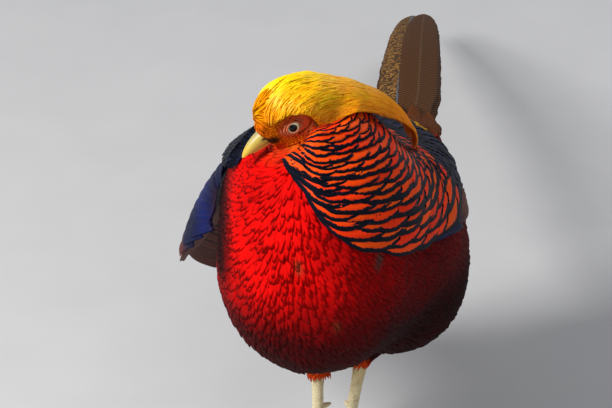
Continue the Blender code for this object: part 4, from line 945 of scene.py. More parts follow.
vane_finish = Finish("firm_vane", Roughness=0.55, Specular_IOR_Level=0.12)
turned_chart = vane_finish.node("Mapping", None, {"Vector": vane_finish.chart(), "Rotation": (0.0, 0.0, 0.7)})
barb = vane_finish.node("TexWave", {"bands_direction": "X"},
                        {"Vector": turned_chart, "Scale": 4.2, "Distortion": 1.2, "Detail": 1.0})
quill = vane_finish.quill(0.02, 0.05)
vane_paint = vane_finish.tinted(barb * 0.35, vane_finish.carried_attribute(), (0.50, 0.45, 0.45))
vane_paint = vane_finish.mix(quill * 0.3, vane_paint, (0.03, 0.02, 0.018))
firm_vane = vane_finish.paint(vane_paint, 0.42 + barb * 0.2, barb + quill * 1.5, 0.35, 0.0005)


def lay_row(wing, count, low_root, low_tip, high_root, high_tip, half, lifts):
    """A row of vanes: roots and tips run in straight lines from the lowest feather to the highest, each vane
    is widest in its middle and rounded at its tip, and rises evenly from the first lift to the second."""
    tall = wing["half_height"] / WING_ROW_HEIGHT
    order = np.linspace(0, 1, count)[:, None]
    root, tip = ((np.array(low) * (1 - order) + np.array(high) * order) * (1.0, tall)
                 for low, high in ((low_root, high_root), (low_tip, high_tip)))
    run = (tip - root) * seeds.uniform(0.97, 1.03, (count, 1))
    length, (east, north) = each(np.linalg.norm(run, axis=1)), (each(part) for part in unit(run).T)
    v, u = vane_axes(11, 9)
    reach = 1 - 0.16 * np.abs(u) ** 2.2 - seeds.uniform(0, 0.035, (count, 1, 9))
    share = v * reach
    across = u * (half * tall * (0.62 + 0.38 * np.sin(np.pi * np.clip(share * 0.9 + 0.05, 0, 1))))
    along = each(root[:, 0]) + east * share * length - north * across
    up = each(root[:, 1]) + north * share * length + east * across
    lift = lifts[0] + (lifts[1] - lifts[0]) * share - 0.0004 * u ** 2
    lift = lift + seeds.uniform(-0.0001, 0.0001, (count, 1, 1)) + u * 0.00035
    under = wing_point(wing, along, up + wing["middle"], lift)
    over = wing_point(wing, along, up + wing["middle"], lift + 0.0007 * swell(v, u))
    return under, over, across, (reach - share) * length, along, up, root


for name, wing in WINGS.items():
    wing["flank"] = side_reach(wing["side"])
    v, u = np.meshgrid(np.linspace(-1, 1, 31), np.linspace(-1, 1, 41), indexing="ij")
    along = WING_BASE_MIDDLE + WING_BASE_HALF * u * np.sqrt(1 - v * v / 2)
    up = -wing["half_height"] * v * np.sqrt(1 - u * u / 2)
    outer = wing_point(wing, along, up + wing["middle"], -0.0004)
    inner = outer.copy()
    edge = np.maximum(np.abs(u), np.abs(v))
    inner[..., 0] -= wing["side"] * 0.0060 * np.minimum(1.0, 1.9 * (1 - edge) + 0.02)
    laid = {"base": (inner[None], outer[None], 0.004, 0.004, along[None], up[None], np.array([[0.5, 0.5]]))}
    for kind, *row in WING_ROWS:
        laid[kind] = lay_row(wing, *row)
    for kind, (under, over, across, from_tip, along, up, root) in laid.items():
        shade = wing_colour(over, wing, along, up) * seeds.uniform(0.8, 1.2, (len(over), 1, 1, 1))
        put_coat("wing_" + kind + "_" + name, under, over, root * (4.0, 6.0) + (0.2, 0.5), shade, across,
                 from_tip, firm_vane, "wing", *(("wing_" + name,) if kind == "base" else ()))

# The cape. Broad feathers, each orange with a blue-black hem, lie in rings round the nape, so that the hems
# line up in dark arcs. They are wired to a mantle that hangs from the nape over shoulders and wings.
CAPE_MARKS = np.arange(6.0, 121.0, 2.5), np.arange(-114.0, 236.0, 2.5)
RINGS = (13.0, 15.5, 18.0, 20.5, 23.0, 26.0, 29.0, 32.5, 36.0, 40.0, 44.0, 48.0, 52.0, 56.5, 61.0, 65.5, 70.0,
         75.0, 80.0)
RING_AZIMUTHS = (-100, -76, -67, -60, -50, -40, -30, -15, 0, 16, 38, 45, 70, 90, 120, 150, 180, 205, 236)
RING_SHARES = (0.45, 0.62, 0.745, 0.82, 0.88, 0.94, 1.0, 1.09, 1.17, 1.22, 1.22, 1.2, 1.09, 1.02, 0.92, 0.80,
               0.66, 0.52, 0.40)
START_AZIMUTHS = (-100, -90, -80, -69, -59, -46, -22, 2, 42, 90, 120, 140, 155, 170, 185, 205)
START_ANGLES = (23, 19, 17, 14.5, 12, 10.5, 12, 15, 16, 15, 13, 14, 16.5, 20, 26, 36)
# At these rings: a feather's half width, its length in metres, and its hem in centimetres.
FEATHER_RINGS, FEATHER_HALVES = (14, 30, 50, 80), (0.0100, 0.0165, 0.0215, 0.0240)
FEATHER_LENGTHS, FEATHER_HEMS = (0.012, 0.020, 0.028, 0.034), (0.12, 0.21, 0.31, 0.32)
# Beyond these angles from the pole the cape is blue, by azimuth.
BLUE_AZIMUTHS = (0, 18, 21, 30, 42, 55, 70, 90, 130, 150)
BLUE_FROM = (200, 104, 100, 91, 83, 76, 73, 71, 60, 0)
# The azimuths of the broad feathers beside the face and of the narrow ones on the back, with their share of the
# half width. A feather over the least half width counts as broad.
CAPE_PARTS, BROAD_LEAST_HALF, CAPE_RADIUS = ((-92.0, 24.0, 1.0), (24.0, 214.0, 0.36)), 0.0095, 0.098


def farthest_hit(centre, ways, corners):
    """How far out each ray from a centre last meets any triangle, by the crossing test on whole arrays."""
    first, edge_a, edge_b = corners[:, 0], corners[:, 1] - corners[:, 0], corners[:, 2] - corners[:, 0]
    start = centre - first
    turned = np.cross(start, edge_a)
    height = np.einsum("ij,ij->i", edge_b, turned)
    found = []
    for block in np.array_split(ways.reshape(-1, 3), 40):
        normal = np.cross(block[:, None], edge_b[None])
        size = np.einsum("ijk,jk->ij", normal, edge_a)
        size = np.where(np.abs(size) < 1e-13, 1e-13, size)
        p = np.einsum("ijk,jk->ij", normal, start) / size
        q = (block @ turned.T) / size
        far = height[None] / size
        far = np.where((p >= 0) & (q >= 0) & (p + q <= 1) & (far > 0), far, 0.0)
        found.append(far.max(axis=1))
    return np.concatenate(found).reshape(ways.shape[:-1])


def corners_of(*nodes):
    """The triangles of some of the solids, in the bird's frame."""
    found = []
    for node in nodes:
        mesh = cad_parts[node].data
        mesh.calc_loop_triangles()
        index = np.empty(len(mesh.loop_triangles) * 3, dtype=np.int32)
        mesh.loop_triangles.foreach_get("vertices", index)
        found.append(points_of(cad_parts[node])[index].reshape(-1, 3, 3))
    return np.concatenate(found)


def drape(raw, passes):
    """A covering laid like cloth on what is beneath: widened by a cell, then eased again and again, never
    under it."""
    wide = np.pad(raw, 1, mode="edge")
    rows, columns = raw.shape
    raw = np.max([wide[i:i + rows, j:j + columns] for i in range(3) for j in range(3)], axis=0)
    cloth = raw
    for _ in range(passes):
        padded = np.pad(cloth, 1, mode="edge")
        eased = (padded[:-2, 1:-1] + padded[2:, 1:-1] + padded[1:-1, :-2] + padded[1:-1, 2:]) / 4
        cloth = np.maximum(raw, eased)
    return cloth


def cape_direction(theta, phi):
    """A direction by its angle from the cape's pole and its azimuth round it."""
    t, p = np.radians(theta)[..., None], np.radians(phi)[..., None]
    return CAPE_POLE * np.cos(t) + (CAPE_EAST * np.cos(p) + CAPE_NORTH * np.sin(p)) * np.sin(t)


cape_ways = cape_direction(*np.meshgrid(*CAPE_MARKS, indexing="ij"))
cape_under = np.maximum(crossing(TRUNK_CENTRE, cape_ways, lambda points: bird_distance(points, False)),
                        farthest_hit(TRUNK_CENTRE, cape_ways, corners_of("wing_left", "wing_right")))
cape_cloth = drape(cape_under, 30)


def ring_share(phi):
    """How far out a ring of the cape lies at an azimuth, over its distance at the azimuth of -30 degrees."""
    return np.interp(phi, RING_AZIMUTHS, RING_SHARES)


def cape_start(phi):
    """Where the cape begins behind the face: nearest behind the ear, further down towards the throat."""
    return np.interp(phi, START_AZIMUTHS, START_ANGLES)


def cape_point(theta, phi, lift):
    """The cape's surface: the draped radius along a direction, standing off it more towards the hem."""
    end = np.interp(phi, CAPE_AZIMUTHS, CAPE_ENDS, left=20, right=36)
    stand_off = 0.0010 + 0.0030 * fade(theta, 14.0, 40.0) * fade(end, 20.0, 50.0)
    cloth = between(cape_cloth, CAPE_MARKS, theta, phi) + stand_off
    flesh = between(cape_under, CAPE_MARKS, theta, phi) + 0.0006
    settled = fade(theta - cape_start(phi), -1.0, 9.0)
    radius = flesh * (1 - settled) + cloth * settled + lift
    return TRUNK_CENTRE + cape_direction(theta, phi) * radius[..., None]


def lay_cape(ring, phi, half, length, lift, rows, columns):
    """Cape feathers. Each has its tip on a ring, whose edge it follows across its width and leaves at either
    side by a rounding, and runs back from it along the slope that crosses the rings."""
    tip = ring * ring_share(phi)
    radius = each(np.linalg.norm(cape_point(tip, phi, 0.0) - TRUNK_CENTRE, axis=-1))
    level = np.maximum(np.sin(np.radians(tip)), 0.30)
    slope = np.radians(tip) * (ring_share(phi + 4) - ring_share(phi - 4)) / math.radians(8)
    lean = each(-np.arctan(slope / (ring_share(phi) * level)) * 0.75)
    ring, phi, half, length, lift, level = (each(value) for value in (ring, phi, half, length, lift, level))
    v, u = vane_axes(rows, columns)
    recede = length * (0.20 * np.abs(u) ** 2.2) + seeds.uniform(0.0, 0.0007, (len(ring), 1, columns))
    width = half * (0.55 + 0.45 * np.sin(np.pi * np.clip(v * 0.62 + 0.02, 0, 1)))
    across = u * width
    back = (1 - v) * (length - recede) + recede
    phis = phi + np.degrees(across * np.cos(lean) / (radius * level))
    thetas = ring * ring_share(phis) - np.degrees(back * np.cos(lean) / radius)
    phis = phis - np.degrees(back * np.sin(lean) / (radius * level))
    thetas = np.maximum(thetas, cape_start(phis) - 0.5 + 1.5 * v)
    rise = -0.0022 + (lift + 0.0022) * v + 0.0003 * u - 0.0004 * u ** 2 * v
    from_edge = (width - np.abs(across)) * 1.3 + 0.0012
    from_tip = np.where(half < BROAD_LEAST_HALF, np.minimum(back - recede, from_edge), back - recede)
    under, over = (cape_point(thetas, phis, rise + thick * swell(v, u)) for thick in (0.0, 0.0005))
    return under, over, across, from_tip


cape_finish = Finish("barred_cape", Roughness=0.55, Specular_IOR_Level=0.12)
ragged = cape_finish.noise(cape_finish.chart(), (5.0, 1.2, 0.0), 2.0)
cape_strands = cape_finish.noise(cape_finish.chart(), (36.0, 2.0, 0.0), 1.0)
hem_edge = cape_finish.part(cape_finish.chart(), 1) - (ragged - 0.5) * 0.26
hem_mark = cape_finish.part(cape_finish.carried_attribute("hem", 1), 0)
hem = cape_finish.step(hem_edge - hem_mark, -0.015, 0.015, 1.0, 0.0)
orange = cape_finish.tinted(cape_finish.step(cape_strands, 0.40, 0.66, 0.40, 0.0), cape_finish.carried_attribute(),
                            (0.60, 0.22, 0.10))
cape_paint = cape_finish.mix(hem, orange, (0.0035, 0.006, 0.016))
cape_material = cape_finish.paint(cape_paint, 0.38 + cape_strands * 0.25, cape_strands, 0.35, 0.0004)

feathers = []
for order, ring in enumerate(RINGS):
    broad = float(np.interp(ring, FEATHER_RINGS, FEATHER_HALVES))
    for first, last, share in CAPE_PARTS:
        half = broad * share
        step = math.degrees(half * 0.90 / (CAPE_RADIUS * max(math.sin(math.radians(ring)), 0.25)))
        places = np.arange(first + step * (0.5 if order % 2 else 0.0), last, step)
        feathers.append((ring + seeds.uniform(-0.8, 0.8, len(places)),
                         places + seeds.uniform(-0.18, 0.18, len(places)) * step,
                         half * seeds.uniform(0.85, 1.15, len(places))))
feathers = np.concatenate(feathers, axis=1)
tips = feathers[0] * ring_share(feathers[1])
ends = np.interp(feathers[1], CAPE_AZIMUTHS, CAPE_ENDS, left=0, right=0)
feathers = feathers[:, (tips < ends + 2.5) & (tips > cape_start(feathers[1]) + 2.0)]
broad = feathers[2] > BROAD_LEAST_HALF
for name, chosen, rows, columns in (("cape_side", broad, 7, 15), ("cape_back", ~broad, 6, 9)):
    ring, azimuth, half = feathers[:, chosen]
    count = len(ring)
    length = np.interp(ring, FEATHER_RINGS, FEATHER_LENGTHS)
    laid = lay_cape(ring, azimuth, half, length, seeds.uniform(0.0011, 0.0014, count), rows, columns)
    tone = painted((255, 96, 0), (252, 52, 0, seeds.uniform(0, 1, count)))[:, None, None]
    tone = tone * seeds.uniform(0.85, 1.08, (count, 1, 1, 1))
    is_blue = ring * ring_share(azimuth) > np.interp(azimuth, BLUE_AZIMUTHS, BLUE_FROM)
    tone = np.where(each(is_blue)[..., None], painted((22, 28, 62)), tone)
    cape = put_coat(name, *laid[:2], np.stack([(azimuth + 120) / 360, ring / 90], axis=-1), tone, *laid[2:],
                    cape_material, "cape")
    hems = np.interp(ring, FEATHER_RINGS, FEATHER_HEMS) * seeds.uniform(0.7, 1.25, count)
    layer = cape.data.attributes.new("hem", "FLOAT", "POINT")
    layer.data.foreach_set("value", np.repeat(hems, len(cape.data.vertices) // count).astype(np.float32))

# The mantle: two thin faces, a little under the feathers, that meet all round its rim.
phi, share = np.linspace(-86, 203, 110)[None], np.linspace(0.0, 1.0, 40)[:, None]
reach = np.maximum(np.interp(phi, CAPE_AZIMUTHS, CAPE_ENDS) - 4.0 - cape_start(phi), 2.0)
theta = cape_start(phi) + reach * share
rim = np.sqrt(np.clip(4 * np.minimum(np.minimum(share, 1 - share), (phi + 86) * (203 - phi) / 5000), 0, 1))
phi = np.broadcast_to(phi, theta.shape)
outer, inner = (cape_point(theta, phi, -0.0010 - depth * rim)[None] for depth in (0.0, 0.0016))
points, faces, listed = close_vanes(inner, outer)
mantle = put_mesh("mantle", points, faces)
add_colour(mantle, listed(np.broadcast_to(painted((40, 14, 8)), outer.shape)))
add_map(mantle, "OFBake", unwrap(points_of(mantle)))
add_map(mantle, "vane", listed(np.stack([phi, theta], axis=-1)[None] * 0.1))
finish_piece(mantle, soft_plumage, "cape")

# The crest. Long silky strands grow from the brow, sweep back over the crown and hang over the nape. They are
# combed over a firm cushion, lemon yellow on top, orange at the brow and golden orange at the ends.
CREST_CENTRE = np.array([-0.006, -0.0345, 0.262])
CREST_ANGLES = (10, 20, 30, 40, 55, 69, 92, 116, 142, 164, 184, 195, 201)
CREST_RADII = (0.0300, 0.0345, 0.0395, 0.0440, 0.0462, 0.0470, 0.0460, 0.0450, 0.0500, 0.0610, 0.0745, 0.0815,
               0.0840)
CREST_MARKS = np.arange(5.0, 206.0, 5.0), np.arange(-60.0, 61.0, 5.0)
CUSHION_END, STRANDS, GOLDEN_SHARE = 0.93, 3400, 0.61803


def crest_direction(angle, tilt):
    """A direction from the crest's centre: turned up from the bill's heading, then tilted to the head's
    left."""
    a, b = np.radians(angle)[..., None], np.radians(tilt)[..., None]
    return (HEADING * np.cos(a) + SKYWARD * np.sin(a)) * np.cos(b) + LEFTWARD * np.sin(b)


crest_grid = np.meshgrid(*CREST_MARKS, indexing="ij")
crest_ways = crest_direction(*crest_grid)
above_throat = lambda points: np.maximum(bird_distance(points), 0.041 - (points - TRUNK_CENTRE) @ CAPE_POLE)
crest_under = np.maximum(crossing(CREST_CENTRE, crest_ways, above_throat, 0.12),
                         farthest_hit(CREST_CENTRE, crest_ways, corners_of("neck")))
crest_under = np.minimum(crest_under, np.interp(crest_grid[0], CREST_ANGLES, CREST_RADII) + 0.0020)
crest_cloth = drape(crest_under, 24)


def crest_point(share, lean, lift):
    """The crest's surface: the share runs from brow to nape, the lean from right to left, and the radius is
    that of its outline, lower at the sides, but at least a little off what lies beneath."""
    share, lean = np.broadcast_arrays(share, lean)
    angle = 52 + 38 * lean ** 2 + (148 - 30 * np.abs(lean) - 38 * lean ** 2) * share
    tilt = lean * (42 - 24 * share) - 9 * share
    under = between(crest_cloth, CREST_MARKS, angle, tilt)
    top = np.interp(angle, CREST_ANGLES, CREST_RADII) * (1 - 0.16 * lean ** 2)
    flesh = between(crest_under, CREST_MARKS, angle, tilt) + 0.0012
    radius = np.maximum(np.maximum(top - 0.0020, np.minimum(under + 0.0020, top - 0.0006)), flesh)
    edge = fade(np.abs(lean), 0.55, 1.05) * (1 - fade(share, 0.30, 0.60))
    radius = radius * (1 - edge) + np.minimum(flesh, radius) * edge + lift
    return CREST_CENTRE + crest_direction(angle, tilt) * radius[..., None]


def crest_colour(share, lean):
    """Lemon on top, orange at the brow, golden orange towards the ends and at the edges over the cape,
    and deeper gold on the left side, partly its own colour and partly painted shade.
    """
    low = fade(np.abs(lean + 0.10), 0.60, 1.05) * (1 - fade(share, 0.08, 0.26))
    return painted((255, 124, 0),
                   (255, 228, 0, fade(share, -0.14, 0.02) * (1 - low)),
                   # Deeper gold on the left side: partly the crest's own colour, partly painted shade where
                   # that side lies in shade.
                   (255, 196, 0, fade(lean, -0.1, 0.5) * 0.85),
                   (255, 188, 0, fade(share, 0.20, 0.50)),
                   (255, 138, 0, fade(share, 0.55, 0.95) * 0.8),
                   (252, 158, 4, fade(np.abs(lean), 0.65, 1.0) * 0.6))


crest_finish = Finish("silky_crest", Roughness=0.42, Specular_IOR_Level=0.3)
silk = crest_finish.noise(crest_finish.chart(), (60.0, 1.0, 0.0), 2.0)
clumps = crest_finish.noise(crest_finish.chart(), (7.0, 0.35, 0.0), 1.0)
silk_paint = crest_finish.tinted(crest_finish.step(silk, 0.38, 0.62, 0.30, 0.0), crest_finish.carried_attribute(),
                                 (1.0, 0.50, 0.08))
silk_paint = crest_finish.tinted(crest_finish.step(clumps, 0.35, 0.60, 0.30, 0.0), silk_paint,
                                 (1.0, 0.56, 0.10))
crest_material = crest_finish.paint(silk_paint, 0.30 + silk * 0.25, silk, 0.4, 0.0004)

lean, share = np.meshgrid(np.linspace(-1, 1, 41), np.linspace(0, CUSHION_END, 60))
rim = np.sqrt(np.clip(8 * np.minimum(np.minimum(share, CUSHION_END - share), (1 - np.abs(lean)) / 2), 0, 1))
outer, inner = (crest_point(share, lean, -0.0008 - depth * rim)[None] for depth in (0.0, 0.0022))
# The cushion has the crest's colours made a little darker: painted shade under the strands.
put_coat("crest_cushion", inner, outer, np.array([[0.5, 0.5]]), crest_colour(share, lean)[None] * 0.85,
         lean * 0.03, share * 0.15, crest_material, "crest")

order = np.arange(STRANDS) + 0.5
starts = (order * GOLDEN_SHARE) % 1.0 * 1.20 - 0.28
leans = np.sin((order / STRANDS - 0.5) * math.pi) * 0.5 + (order / STRANDS - 0.5)
leans = np.clip(leans * 1.06 + seeds.normal(0, 0.03, STRANDS), -1.08, 1.08)
spans = seeds.uniform(0.20, 0.36, STRANDS)
stops = np.minimum(starts + spans, 1.0 + seeds.uniform(-0.05, 0.03, STRANDS))
starts = np.minimum(np.maximum(starts, -0.26 + 0.24 * np.minimum(np.abs(leans) * 1.3, 1.0)), CUSHION_END)
halves = seeds.uniform(0.007, 0.018, STRANDS)
v, u = vane_axes(8, 3)
shares = each(starts) + each(stops - starts) * v + 0.0 * u
wave = 0.012 * np.sin(v * 3.0 + seeds.uniform(0, 6.28, (STRANDS, 1, 1)))
wander = seeds.normal(0, 0.022, (STRANDS, 1, 1)) * v
taper = np.sin(np.pi * np.clip(0.12 + 0.84 * v, 0, 1)) ** 0.8
lean = np.clip(each(leans) + wave + wander + u * taper * each(halves), -1.12, 1.12)
lift = -0.0012 + (seeds.uniform(0.0004, 0.0012, (STRANDS, 1, 1)) + 0.0012) * np.clip(v * 1.6, 0, 1)
shade = crest_colour(shares, lean) * seeds.uniform(0.90, 1.25, (STRANDS, 1, 1, 1))
under, over = (crest_point(shares, lean, lift + thick * swell(v, u)) for thick in (0.0, 0.0007))
put_coat("crest_strands", under, over, np.stack([leans * 0.45 + 0.5, starts * 0.9 + 0.05], axis=-1), shade,
         lean * 0.03, shares * 0.15, crest_material, "crest")

# The tail. Four pairs of long feathers, graduated and vaulted, slide under one another on a fleshy root, and
# coverts hide their quills. The upper middle one is freckled golden brown with a grey shaft, the others have
# bars.
TAIL_ROOT, TAIL_SWING = np.array([0.004, 0.125, 0.184]), math.radians(17)
TAIL_LENGTH, TAIL_SLOPE, TAIL_SAG, TAIL_VAULT, TAIL_LAYER = 0.545, 0.15, 0.235, 4.0, 0.0017
TAIL_START, TAIL_ROWS, TAIL_COLUMNS = 0.012, 64, 13
# Each pair's share of the tail's length, half width, and distance from the middle.
TAIL_PAIRS = ((1.0, 0.0155, 0.0085), (0.84, 0.0125, 0.0137), (0.64, 0.0118, 0.0141), (0.46, 0.0105, 0.0146))
# A tail feather's width by the share of the way out.
TAIL_MARKS = (0.0, 0.10, 0.25, 0.45, 0.65, 0.80, 0.90, 0.96, 1.0)
TAIL_WIDTHS = (0.55, 0.75, 1.0, 1.0, 0.94, 0.78, 0.55, 0.34, 0.06)


def tail_point(distance, side, up):
    """The tail's arch: out along its heading, falling by a slope and a sag, and across its shallow vault."""
    distance, side, up = np.broadcast_arrays(distance, side, up)
    forward = np.array([-math.sin(TAIL_SWING), math.cos(TAIL_SWING), 0.0])
    sideways = np.array([math.cos(TAIL_SWING), math.sin(TAIL_SWING), 0.0])
    height = -TAIL_SLOPE * distance - TAIL_SAG * distance ** 2 - TAIL_VAULT * side ** 2 + up
    flat = forward * distance[..., None] + sideways * side[..., None]
    return TAIL_ROOT + flat + SKYWARD * height[..., None]


def lay_tail(length, half, apart, side, layer):
    """One tail feather: it leaves the middle as it goes out and comes back to it, is widest at a third of its
    length and tapers to its tip, with a ragged edge on both sides and a keel along its shaft."""
    v, u = vane_axes(TAIL_ROWS, TAIL_COLUMNS)
    distance = TAIL_START + (length - TAIL_START) * v
    ragged = 1 - seeds.uniform(0, 0.07, (TAIL_ROWS, 1)) * (np.abs(u) > 0.99)
    across = u * half * np.interp(distance / length, TAIL_MARKS, TAIL_WIDTHS) * ragged
    trail = distance + 0.35 * np.abs(across)
    shaft = side * apart * np.minimum(1.0, 0.35 + distance / 0.20) * (1 - 0.45 * distance / TAIL_LENGTH)
    keel = 0.0007 * np.exp(-(u / 0.10) ** 2) * (1 - 0.7 * v)
    body = (0.0009 * swell(v, u, 0.01, 0.98) + keel) * ((v > 0) & (v < 1))
    return (tail_point(trail, shaft + across, layer), tail_point(trail, shaft + across, layer + body), across,
            length - distance)


middle_finish = Finish("freckled_tail", Roughness=0.6, Specular_IOR_Level=0.12)
tail_chart = middle_finish.chart()
freckle = middle_finish.node("TexVoronoi", None,
                             {"Vector": middle_finish.stretched(tail_chart, (1.0, 0.8, 0.0)), "Scale": 4.6})
fine = middle_finish.noise(tail_chart, 9.0, 3.0)
tail_paint = middle_finish.mix(middle_finish.step(freckle, 0.30, 0.52, 1.0, 0.0), (0.055, 0.024, 0.008),
                               (0.46, 0.22, 0.045))
tail_paint = middle_finish.mix(middle_finish.step(fine, 0.4, 0.7, 0.0, 0.6), tail_paint, (0.10, 0.055, 0.02))
quill = middle_finish.quill(0.07, 0.13)
tail_paint = middle_finish.mix(quill, tail_paint, (0.10, 0.12, 0.15))
tail_barbs = middle_finish.node("TexWave", {"bands_direction": "Y"},
                                {"Vector": tail_chart, "Scale": 3.0, "Distortion": 0.8})
middle_material = middle_finish.paint(tail_paint, 0.5 + fine * 0.2, tail_barbs + quill * 2.0, 0.35, 0.0006)

outer_finish = Finish("barred_tail", Roughness=0.65, Specular_IOR_Level=0.08)
tail_chart = outer_finish.chart()
slant = outer_finish.part(tail_chart, 1) + abs(outer_finish.part(tail_chart, 0)) * 1.1
blotches = outer_finish.noise(tail_chart, 3.0, 3.0)
bars = outer_finish.node("TexWave", {"bands_direction": "X"},
                         {"Vector": outer_finish.node("CombineXYZ", None, {0: slant}), "Scale": 0.55,
                          "Distortion": 0.0})
tail_paint = outer_finish.mix(outer_finish.step(bars + blotches * 0.5, 0.55, 0.95), (0.120, 0.046, 0.012),
                              (0.030, 0.012, 0.005))
quill = outer_finish.quill(0.05, 0.10)
tail_paint = outer_finish.mix(quill * 0.5, tail_paint, (0.12, 0.07, 0.035))
outer_material = outer_finish.paint(tail_paint, None, blotches + quill, 0.3, 0.0006)

for number, (share, half, apart) in enumerate(TAIL_PAIRS):
    for name, side in (("right", -1), ("left", 1)):
        on_top = number == 0 and side < 0
        tier = 0 if number == 0 and side > 0 else number + 1
        *vane, across, from_tip = lay_tail(TAIL_LENGTH * share * 0.995, half, apart, side, -TAIL_LAYER * tier)
        put_coat("tail_%d_%s" % (number + 1, name), *vane, np.array([[0.5, 0.5]]), painted((120, 80, 40)),
                 across, from_tip, middle_material if on_top else outer_material, "tail",
                 *(("tail",) if on_top else ()))

STUB_MARKS = (-0.012, 0.012, 0.034, 0.054, 0.060)
distance = np.linspace(-0.012, 0.060, 24)[:, None]
width = np.interp(distance, STUB_MARKS, (0.0270, 0.0270, 0.0240, 0.0150, 0.0090)) * np.cos(around(40))
height = np.interp(distance, STUB_MARKS, (0.0150, 0.0130, 0.0100, 0.0060, 0.0030)) * np.sin(around(40))
flat = height - 0.0030 + TAIL_VAULT * width ** 2
stub = put_mesh("tail_root", *closed_rings(tail_point(distance, width, flat)))
add_colour(stub, body_colour_and_shade(points_of(stub)))
add_map(stub, "vane", np.zeros((len(stub.data.vertices), 2)))
add_map(stub, "OFBake", unwrap(points_of(stub)))
finish_piece(stub, soft_plumage, "tail")

# The rump's long coverts fall over the quills, pointed like lances. They are golden at the root and brown
# beyond it, and scarlet at the sides.
COVERTS, COVERT_SIDE = 90, 0.024
order = (np.arange(COVERTS) + 0.5) / COVERTS
root_side = np.sin(order * 40.0) * COVERT_SIDE
root_start = -0.022 + 0.050 * ((order * 13.0) % 1.0)
length = np.interp(np.abs(root_side), (0, COVERT_SIDE), (0.066, 0.050)) * seeds.uniform(0.85, 1.1, COVERTS)
v, u = vane_axes(12, 7)
distance = each(root_start) + each(length) * v * (1 - 0.12 * np.abs(u))
across = u * (0.0042 * np.sin(np.pi * np.clip(0.12 + 0.80 * v, 0, 1)) ** 0.8)
side = each(root_side) * (1 - 0.25 * v) + across
lift = np.interp(distance, (-0.03, 0.012, 0.034, 0.054, 0.09), (0.0155, 0.0125, 0.0085, 0.0045, 0.0022))
lift = lift + 0.0018 * v - np.abs(each(root_side)) * 0.16
shade = painted((238, 170, 24),
                (200, 24, 12, fade(np.abs(side), 0.014, 0.020)),
                (104, 56, 22, fade(distance, -0.012, 0.006)))
shade = shade * seeds.uniform(0.8, 1.1, (COVERTS, 1, 1, 1))
under, over = (tail_point(distance, side, lift + thick * swell(v, u)) for thick in (0.0, 0.0008))
put_coat("rump_coverts", under, over, np.stack([root_side * 12 + 0.5, root_start * 8 + 0.4], axis=-1), shade,
         across, each(length) * (1 - v), soft_plumage, "tail")

# The legs. Each scaled shank is pale horn with broad scutes down its front and a spur behind, and stands on
# three toes before and one behind, each ringed with scales and tipped with a blunt dark claw.
LEGS = {"right": dict(hub=(-0.0175, 0.0100), toe_out=-14, spread=-1),
        "left": dict(hub=(0.0050, 0.0035), toe_out=10, spread=1)}
# Each toe's name, degrees off the middle one, length, and share of its thickness.
TOES = (("middle", 0, 0.040, 1.0), ("inner", -22, 0.028, 0.92), ("outer", 30, 0.032, 0.92),
        ("hind", 176, 0.0150, 0.78))
SHANK_RADIUS, TOE_RADIUS, HUB_HEIGHT, CLAW_LENGTH = 0.0042, 0.0036, 0.0125, 0.0095
TOE_MARKS, TOE_WIDTHS = (0.0, 0.18, 0.34, 0.50, 0.66, 0.82, 0.97), (1.30, 1.02, 1.10, 0.90, 1.00, 0.88, 0.70)
leg_finish = Finish("scaled_leg", Roughness=0.42, Specular_IOR_Level=0.45, Subsurface_Weight=0.04)
leg_place = leg_finish.place()
leg_cells = leg_finish.node("TexVoronoi", {"feature": "DISTANCE_TO_EDGE"},
                            {"Vector": leg_finish.stretched(leg_place, (1.0, 1.0, 0.7)), "Scale": 620.0})
leg_dirt = leg_finish.noise(leg_place, 160.0, 3.0)
leg_paint = leg_finish.tinted(leg_finish.step(leg_cells, 0.0, 0.10, 0.55, 0.0), leg_finish.carried_attribute(),
                              (0.40, 0.30, 0.18))
leg_paint = leg_finish.tinted(leg_finish.step(leg_dirt, 0.45, 0.70, 0.0, 0.35), leg_paint, (0.42, 0.34, 0.20))
leg_material = leg_finish.paint(leg_paint, 0.36 + leg_dirt * 0.2, leg_finish.step(leg_cells, 0.0, 0.12), 0.4,
                                0.0004)
claw_finish = Finish("horn_claw", Roughness=0.35, Specular_IOR_Level=0.5)
claw_grain = claw_finish.noise(claw_finish.place(), (900.0, 900.0, 2500.0), 2.0)
claw_material = claw_finish.paint(claw_finish.mix(claw_grain, (0.10, 0.075, 0.05), (0.28, 0.22, 0.14)), None,
                                  claw_grain, 0.2, 0.0003)


def tube(path, radii, columns, flatten=1.0, ridges=0.0, pitch=0.0022):
    """Rings along a path, square to it, each by its radius, raised in steps like roof tiles where it has
    scales."""
    ahead = unit(np.gradient(path, axis=0))
    across = unit(np.cross(ahead, [0.35, 0.2, 1.0] if abs(ahead[0, 2]) < 0.8 else [1.0, 0.2, 0.0]))
    rise = np.cross(across, ahead)
    turn = around(columns)[..., None]
    walked = np.concatenate([[0], np.cumsum(np.linalg.norm(np.diff(path, axis=0), axis=1))])
    size = each(radii * (1 + ridges * (walked / pitch % 1.0 - 0.5)))
    rings = path[:, None] + size * (across[:, None] * np.cos(turn) + rise[:, None] * np.sin(turn) * flatten)
    return closed_rings(rings, path[0], path[-1])


def run(start, way, marks, height=0.0):
    """A path from a place along a way, by the marks, with a height for each."""
    return start + way * np.asarray(marks)[:, None] + SKYWARD * (np.zeros(len(marks)) + height)[:, None]


